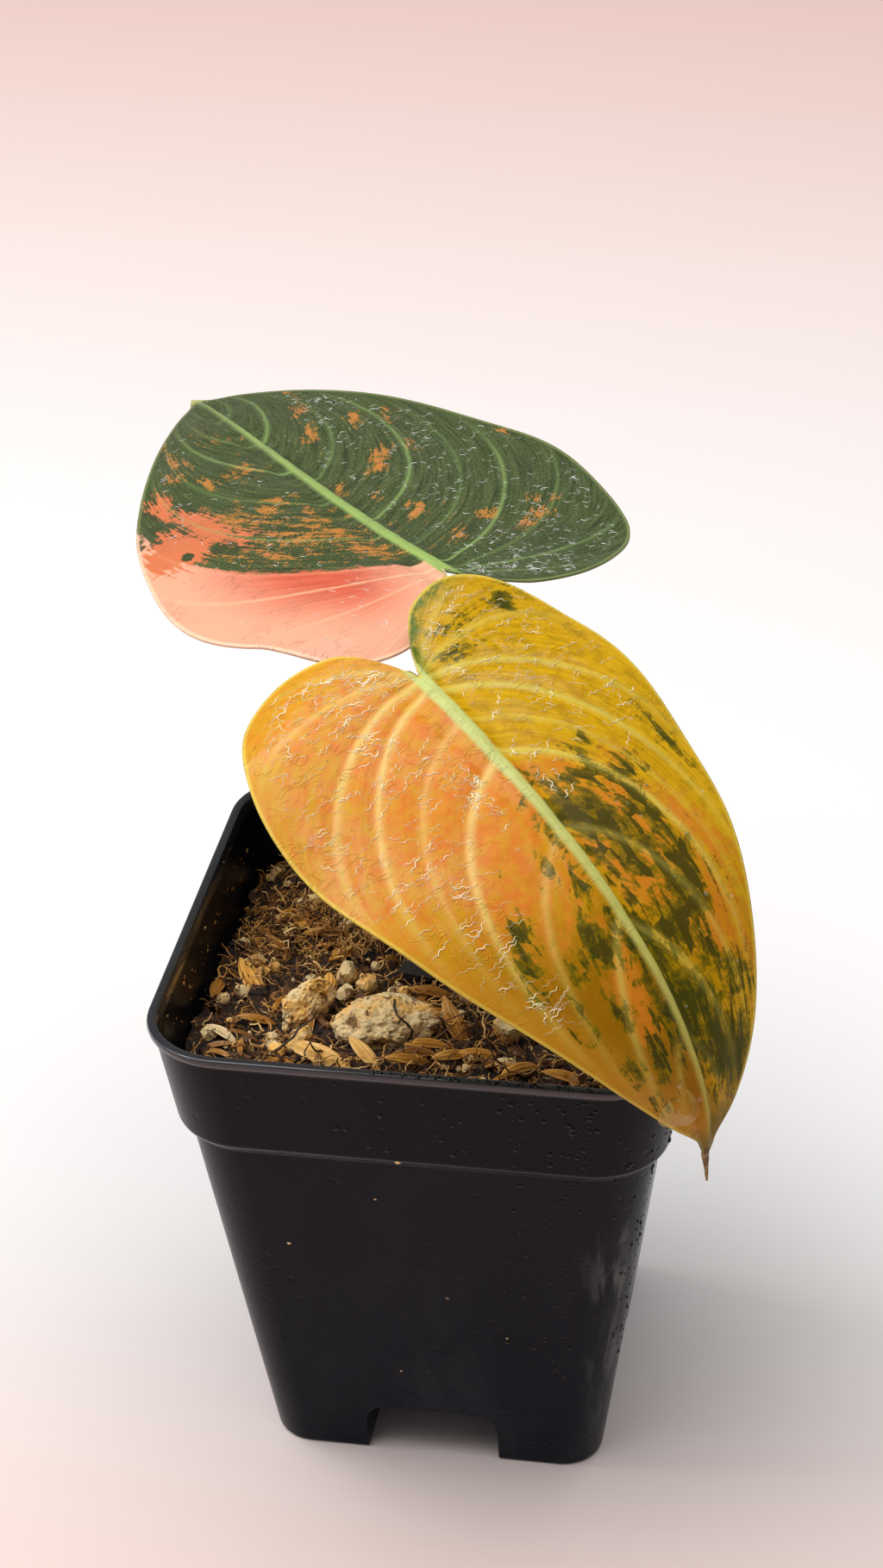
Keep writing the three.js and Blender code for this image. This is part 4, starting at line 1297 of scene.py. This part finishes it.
base = gold.mix(base, gold.mix(rgb(186, 108, 14), rgb(208, 130, 32), streak),
                warm.step(0.3, 0.7))
broken = gold.drawn("green") + block.swing(0.65) + streak.swing(0.9) + fleck.swing(1.1)
broken = broken + speck.swing(0.6)
green = broken.step(0.42, 0.64)
olive = gold.mix(rgb(128, 106, 2), rgb(44, 56, 8), (broken + block.swing(0.3)).step(0.48, 1.0))
base = gold.mix(base, olive, green * 0.92)
base = gold.mix(base, rgb(84, 104, 20), gold.drawn("lobe_edge") * (fleck + streak).step(0.7, 1.05))
veined = gold.mix(base, gold.mix(rgb(204, 188, 84), rgb(232, 198, 116), peach),
                  gold.vein * (0.8 - 0.4 * green))
ribbed = gold.mix(veined, gold.mix(rgb(190, 198, 118), rgb(180, 166, 70), gold.along),
                  gold.midrib(0.0138))
edged = gold.mix(ribbed, rgb(222, 196, 84), gold.to_margin.step(0.7, 0.2) * 0.75)
murky = (gold.along + fleck.swing(0.06) - gold.side * 0.04).step(0.85, 0.93)
tipped = gold.mix(edged, rgb(104, 96, 44), murky * 0.8)
wet = (gold.clouds(gold.flat, 7.0, 2) + gold.side * 0.08 - gold.along * 0.3).step(0.38, 0.58)
gold.paint(Base_Color=tipped, Roughness=0.42 - 0.12 * wet, Coat_Weight=0.02 + 0.4 * wet,
           Normal=gold.relief(wet))

dark = LeafFinish("dark_blade", Coat_IOR=1.33, Coat_Roughness=0.12, Specular_IOR_Level=0.15)
streak = dark.streaks(150, 5.0, 4)
blotch = dark.streaks(60, 9.0, 2)
fleck = dark.clouds(dark.flat, 60, 3, 0.6)
block = dark.blocks(80.0, 18.0)
grain = dark.clouds(dark.flat, 260, 2, 0.6)
base = dark.mix(rgb(42, 52, 26), rgb(86, 98, 58), (streak * 0.5 + grain * 0.5).step(0.35, 0.68))
near_half = 1 - dark.side
ragged = block.swing(0.5) + streak.swing(1.3) + fleck.swing(1.0)
broken = dark.drawn("orange") + ragged
broken = broken + grain.swing(1.0)
patch = dark.mix(rgb(132, 104, 44), rgb(190, 120, 56), (broken * 0.6 + fleck * 0.4).step(0.4, 0.8))
base = dark.mix(base, patch, broken.step(0.46, 0.66) * 0.9)
edge_line = dark.lane + blotch.swing(0.03) + fleck.swing(0.03)
pink = edge_line.step(0.435, 0.425) * near_half
rosy = dark.mix(rgb(191, 76, 50), rgb(206, 102, 74), streak.step(0.35, 0.65))
pinks = dark.mix(rosy, rgb(226, 162, 132), dark.to_margin.step(17.0, 2.5) * 0.95)
base = dark.mix(base, pinks, pink)
warm_edge = dark.drawn("rosy") + ragged * 0.9 + grain.swing(0.5)
base = dark.mix(base, dark.mix(rgb(190, 116, 60), rgb(208, 104, 76), fleck),
                warm_edge.step(0.42, 0.62))
base = dark.mix(base, rgb(60, 66, 36), (dark.drawn("islands") + fleck.swing(0.8)).step(0.5, 0.6))
veined = dark.mix(base, dark.mix(rgb(136, 164, 94), rgb(236, 196, 156), pink),
                  dark.vein * 0.72)
ribbed = dark.mix(veined, dark.mix(rgb(146, 172, 92), rgb(128, 144, 88), dark.along),
                  dark.midrib(0.0125))
edged = dark.mix(ribbed, dark.mix(rgb(120, 132, 80), rgb(248, 204, 172), pink),
                 dark.to_margin.step(0.7, 0.2) * 0.8)
tipped = dark.mix(edged, rgb(190, 190, 110), dark.along.step(0.95, 0.98) * 0.8)
wet = dark.clouds(dark.flat, 8.0, 2).step(0.42, 0.58)
dark.paint(Base_Color=tipped, Roughness=0.5 - 0.1 * wet, Coat_Weight=0.05 + 0.45 * wet,
           Normal=dark.relief(wet))

underside = Finish("leaf_underside", Roughness=0.55)
spot = underside.place()
underside.paint(
    Base_Color=underside.mix(rgb(150, 128, 60), rgb(120, 124, 66), underside.clouds(spot, 60, 3)),
    Normal=underside.bump(underside.clouds(spot, 900, 3), 0.0002, 0.5))

# %% [markdown]
# ## Leaves: the pieces
# A Solidify modifier gives each blade its thickness. The midrib stands out of the lower face as a
# tapering tube that turns down at the junction, where the petiole takes over. Past the tip of
# the front leaf hangs a short withered end, from which water drips.

# %% Leaf pieces
stalk = Finish("stalk", Specular_IOR_Level=0.5, Roughness=0.4)
spot = stalk.place()
stalk.paint(
    Base_Color=stalk.mix(rgb(122, 146, 62), rgb(158, 162, 84), stalk.clouds(spot, 70, 3)),
    Normal=stalk.bump(stalk.clouds(stalk.spread(spot, (1, 1, 0.1)), 1500, 2), 0.0002, 0.5))

path = [bent(LEAVES["front"], 0, v, -0.3) for v in (0.955, 0.975, 0.995)]
for fall in (0.8, 1.7, 2.7, 3.6, 4.3):
    path.append(path[2] + Vector((0.10 * fall, -0.05 * fall * fall + 0.1, -fall)) * MM)
radii = [radius * MM for radius in (0.2, 0.62, 0.62, 0.55, 0.42, 0.32, 0.26, 0.14)]
withered = Finish("withered_tip", Roughness=0.6)
spot = withered.place()
withered.paint(Base_Color=withered.mix(
    rgb(150, 124, 74), rgb(92, 66, 34), withered.clouds(spot, 900, 2).step(0.4, 0.6)))
piece_from(tube_mesh("drip", path, radii, 12), "drip_tip", [withered])

RIB_RADIUS = (1.5, 0.35)
for name, finish in (("front", gold), ("back", dark)):
    leaf = LEAVES[name]
    piece = piece_from(blades[name], "leaf_" + name + "_blade", [finish, underside],
                       ["leaf_" + name])
    wall = piece.modifiers.new("wall", "SOLIDIFY")
    wall.thickness = BLADE_THICKNESS * MM
    wall.offset = -1
    wall.material_offset = 1
    wall.material_offset_rim = 0
    path = [leaf["place"] @ Vector((0, -2, -5.2)), leaf["place"] @ Vector((0, -1.9, -2.7))]
    radii = [RIB_RADIUS[0]] * 2
    for step in range(24):
        v = 0.03 + 0.92 * step / 23
        radius = RIB_RADIUS[0] + (RIB_RADIUS[1] - RIB_RADIUS[0]) * v
        path.append(bent(leaf, 0, v, -0.5 - 0.45 * radius))
        radii.append(radius)
    rib = tube_mesh("rib", path, [radius * MM for radius in radii], 14)
    piece_from(rib, "midrib_" + name, [stalk])

# %% [markdown]
# ## Stem and petioles
# One short stem stands in the mix, and a petiole rises from it to each leaf. All three are round
# green stalks, so tubes along smooth paths make them. They are hidden from the front, but the
# leaves rest on them when the plant is seen from any other side.


# %% Stalks
STALK_STEPS = 40
stalks = bmesh.new()
tube(stalks, [at(2, 4, z) for z in (62, 75, 86, 91, 93, 94)],
     [value * MM for value in (3.4, 3.4, 3.4, 3.1, 2.4, 0.8)], 24)
for leaf in LEAVES.values():
    end = leaf["place"] @ Vector((0, -2.0, -5.8))
    points = [at(2, 4, 86), at(2, 4, 93), *(at(*place) for place in leaf["petiole"]), end]
    path = smooth_path(points, STALK_STEPS)
    radii = [(2.3 - 1.05 * step / STALK_STEPS) * MM for step in range(STALK_STEPS + 1)]
    tube(stalks, path, radii, 18)
piece_from(closed_mesh(stalks, "stalks"), "stem_and_petiole_stalks", [stalk],
           ["stem_and_petioles"])

# %% [markdown]
# ## Water: beads and ridges
# The plant has just been sprayed. Small beads sit on the leaves, the lip and the right corner of
# the pot. On the golden leaf the film has drawn up into short wavy ridges, and on the dark one
# into curled commas. All are real shapes: half of an icosphere for a bead, and a thin tube for a
# line, laid over the relief of the leaf. On black plastic a bead shows only by its highlight, so
# there it is black and glossy, while water on the leaves lets most of the light through. On the
# leaves the beads carry a faint white and the lines a pale colour, brightest in spots: these are
# painted highlights, for the glints of the water.

# %% Water
# Painted highlight: beads on the leaves carry a faint white base.
water = Finish("water", Roughness=0.05, Specular_IOR_Level=0.9, Coat_Weight=1.0, Alpha=0.08,
               Base_Color=(1.0, 1.0, 1.0, 1.0))
# Painted highlight: the large drop carries a pale yellow base that stands in for its sheen.
drop_with_painted_sheen = Finish("drop_with_painted_sheen", Roughness=0.08, Specular_IOR_Level=1.0, Coat_Weight=1.0,
                     Alpha=0.24, Base_Color=rgb(240, 214, 120))
dark_water = Finish("water_on_plastic", Roughness=0.05, Specular_IOR_Level=0.3,
                    Base_Color=(0.002, 0.002, 0.003, 1.0))


def line_finish(name, colour, clear, bright):
    """Water drawn up into a line: mostly clear, with pale spots of painted highlight where it would
    catch the light.
    """
    finish = Finish(name, Roughness=0.1, Specular_IOR_Level=0.9, Coat_Weight=1.0, Base_Color=colour)
    painted_glints = finish.clouds(finish.place(), 330, 2).step(0.42, 0.62)
    finish.paint(Alpha=clear + bright * painted_glints)
    return finish


# The pale colours of the water lines are painted highlights.
warm_line = line_finish("water_line_on_gold", rgb(255, 240, 196), 0.30, 0.70)
cool_line = line_finish("water_line_on_green", rgb(250, 252, 244), 0.10, 0.72)


def bead_template():
    form = bmesh.new()
    bmesh.ops.create_icosphere(form, subdivisions=2, radius=1.0)
    bmesh.ops.bisect_plane(form, geom=whole(form),
                           plane_co=(0, 0, -0.15), plane_no=(0, 0, -1), clear_outer=True)
    bmesh.ops.contextual_create(form, geom=[edge for edge in form.edges if edge.is_boundary])
    bmesh.ops.scale(form, vec=(1, 1, 0.62), verts=form.verts)
    return closed_mesh(form, "bead_template")


bead_shape = bead_template()


def bead(place, normal, radius, stretch=1.0):
    """One bead: its template and the matrix that sets it on a surface."""
    upright = Vector(normal).to_track_quat("Z", "Y").to_matrix().to_4x4()
    size = Matrix.Diagonal((radius * MM * stretch, radius * MM, radius * MM, 1.0))
    return bead_shape, Matrix.Translation(place) @ upright @ size, draw.random()


def beads_on_blade(name, count, wanted, sizes):
    mesh, found = blades[name], []
    while len(found) < count:
        face = mesh.polygons[draw.randrange(len(mesh.polygons))]
        index = face.vertices[0]
        across = mesh.attributes["across"].data[index].value
        along = mesh.attributes["along"].data[index].value
        if draw.random() < wanted(across, along):
            radius = sizes[0] + (sizes[1] - sizes[0]) * draw.random() ** 2.5
            found.append(bead(face.center, face.normal, radius, draw.uniform(0.9, 1.5)))
    return found


def wall_spot(height, round_corner):
    """A place and normal outside the pot, going from the front wall round the right corner."""
    width, radius = section_at(OUTSIDE, height)
    reach = width / 2 - radius
    if round_corner < 0:
        return at(reach + round_corner, -width / 2, height), Vector((0, -1, 0.05))
    if round_corner <= 1:
        angle = math.radians(90 * round_corner - 90)
        normal = Vector((math.cos(angle), math.sin(angle), 0.05))
        return at(reach + radius * normal.x, -reach + radius * normal.y, height), normal
    return at(width / 2, -reach + round_corner - 1, height), Vector((1, 0, 0.05))


BEADS = {"back": 160, "front": 130, "collar": 240, "body": 300, "lip": 60}
beads = beads_on_blade("back", BEADS["back"], lambda x, y: 1.0 if x > 0 else 0.3, (0.10, 0.34))
beads += beads_on_blade("front", BEADS["front"], lambda x, y: 1.0 if x < -0.1 else 0.25,
                        (0.12, 0.40))
pile("leaf_beads", beads, water, walled=False)
beads = []
for count in range(BEADS["collar"]):
    beads.append(bead(*wall_spot(draw.uniform(73, 88.5), 0.9 - 42 * draw.random() ** 3.0),
                      0.12 + 0.4 * draw.random() ** 3))
for count in range(BEADS["body"]):
    beads.append(bead(*wall_spot(draw.uniform(20, 69), 0.9 - 14 * draw.random() ** 3),
                      0.12 + 0.3 * draw.random() ** 3))
for count in range(BEADS["lip"]):
    beads.append(bead(at(draw.uniform(-5, 30), -43.3 + draw.uniform(-0.4, 0.3), 91.0), (0, -0.2, 1),
                      draw.uniform(0.12, 0.3), 1.6))
pile("pot_beads", beads, dark_water, walled=False)


def water_line(name, start, heading, curl, sway, steps, thick):
    """A thin raised line of water on a blade, in a list; an empty one if it meets the margin."""
    leaf, spot, path = LEAVES[name], start.copy(), []
    phase = draw.uniform(0, 6.28)
    for step in range(steps):
        lift, strength, to_vein, to_margin = RELIEF[name](spot.x, spot.y)
        if to_margin < 1.2:
            return []
        path.append(bent(leaf, spot.x, spot.y, lift + 0.4 * thick))
        turned = heading + curl * step / steps + sway * math.sin(phase + 1.7 * step)
        spot += Vector((math.cos(turned), math.sin(turned))) * 0.0045
    radii = [thick * MM * (0.3 + 0.7 * math.sin(math.pi * (step + 0.5) / steps))
             for step in range(steps)]
    return [tube_mesh("line", path, radii, 4)]


def random_start(lanes, shares, right_share):
    side = 1 if draw.random() < right_share else -1
    flat = on_curve(vein_curve(draw.uniform(*lanes)), draw.uniform(*shares))
    return Vector((side * flat.x, flat.y))


RIDGES, COMMAS = 460, 900
CROWDS = (((0.075, 0.22), 46), ((-0.045, 0.25), 12), ((-0.17, 0.13), 12))
ridges = []
while len(ridges) < RIDGES:
    start = random_start((0.08, 0.62), (0.1, 0.85), 0.66)
    if start.x < 0 and start.y > 0.26:
        continue
    ridges += water_line("front", start, draw.choice((0, math.pi)) + draw.gauss(0, 0.5), 0.0, 0.8,
                         draw.randrange(6, 13), draw.uniform(0.045, 0.10))
# The film is thickest in a few small places, where the lines crowd together, and their painted
# highlight gathers into bright patches there.
for (x, y), count in CROWDS:
    for line in range(count):
        start = Vector((x + draw.gauss(0, 0.014), y + draw.gauss(0, 0.035)))
        ridges += water_line("front", start, draw.uniform(0, 6.28), 0.0, 0.9, draw.randrange(4, 9),
                             draw.uniform(0.06, 0.12))
piece_from(joined(ridges), "water_ridges", [warm_line])

commas = []
while len(commas) < COMMAS:
    start = random_start((0.05, 0.72), (0.1, 0.9), 0.82)
    commas += water_line("back", start, draw.uniform(0, 6.28),
                         draw.choice((-1, 1)) * draw.uniform(1.5, 3.5), 0.0,
                         draw.randrange(3, 6), draw.uniform(0.03, 0.075))
piece_from(joined(commas), "water_commas", [cool_line])

# %% [markdown]
# A larger drop lies flat near the tip of the golden leaf. It is a grid disc mapped through the
# bending with a lift that falls to nothing at its rim. Its pale yellow colour is a painted
# highlight.

# %% Drop near the tip
leaf = LEAVES["front"]
drop = bmesh.new()
bmesh.ops.create_circle(drop, cap_ends=True, segments=40, radius=1.0)
for ring in range(8):
    bmesh.ops.inset_region(drop, faces=[max(drop.faces, key=lambda face: len(face.verts))],
                           thickness=0.11)
for vert in drop.verts:
    out = min(1.0, math.hypot(vert.co.x, vert.co.y))
    wobble = 1 + 0.12 * math.sin(3 * math.atan2(vert.co.y, vert.co.x) + 1)
    vert.co = bent(leaf, 0.045 + 0.036 * wobble * vert.co.x, 0.865 + 0.034 * wobble * vert.co.y,
                   0.2 + 0.75 * (1 - out ** 4) ** 0.5)
bmesh.ops.recalc_face_normals(drop, faces=drop.faces[:])
bmesh.ops.solidify(drop, geom=drop.faces[:], thickness=0.4 * MM)
piece_from(closed_mesh(drop, "drop"), "tip_drop", [drop_with_painted_sheen])

# %% [markdown]
# ## Floor and light
# The plant stands on a plain pale floor, painted rosier and a little darker in front of it and
# far behind it as a painted fall-off of the light.
# A large soft light from the upper left gives the broad sheen on the leaves and the soft shadow
# to the right, one overhead fills the leaves and the mix, and a small one in front lifts the pot.

# %% Floor
floor_finish = Finish("pale_floor", Roughness=0.9, Specular_IOR_Level=0.1)
spot = floor_finish.place()
deep = floor_finish.axis(spot, "Y")
# Painted fall-off of light: rosier and a little darker in front of the pot and far behind it.
away = (deep.step(40, -120) * 0.92).at_least(deep.step(180, 750))
floor_finish.paint(Base_Color=floor_finish.mix(
    (0.80, 0.785, 0.78, 1), (0.79, 0.57, 0.525, 1), away))
floor_form = bmesh.new()
bmesh.ops.create_grid(floor_form, x_segments=1, y_segments=1, size=6.0)
floor = add_object("floor", mesh_from(floor_form, "floor"))
floor.data.materials.append(floor_finish.material)
floor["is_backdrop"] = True


# %% Lights
def soft_light(name, place, width, watts):
    lamp = bpy.data.lights.new(name, "AREA")
    lamp.shape = "SQUARE"
    lamp.size = width
    lamp.energy = watts
    light = add_object(name, lamp)
    light.location = place
    light.rotation_euler = (at(0, 0, 90) - light.location).to_track_quat("-Z", "Y").to_euler()
    print(name, "light of", watts, "W")


soft_light("window", Vector((-0.9, 0.05, 1.1)), 0.85, 10.5)
soft_light("overhead", Vector((0.05, 0.0, 1.5)), 1.4, 18.5)
soft_light("fill", Vector((-0.35, -0.6, 1.4)), 0.7, 3.5)
world = bpy.data.worlds.new("studio")
bpy.context.scene.world = world
world.use_nodes = True
sky = world.node_tree.nodes["Background"].inputs
sky["Color"].default_value, sky["Strength"].default_value = (1.0, 0.98, 0.97, 1), 0.22

# %% Size and finish
visual_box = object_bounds()
sizes = {"cad": [list(corner) for corner in cad_box],
         "visual": [list(corner) for corner in visual_box]}
for kind, box in sizes.items():
    print(kind, "box in millimetres", [[round(v / MM, 1) for v in corner] for corner in box])
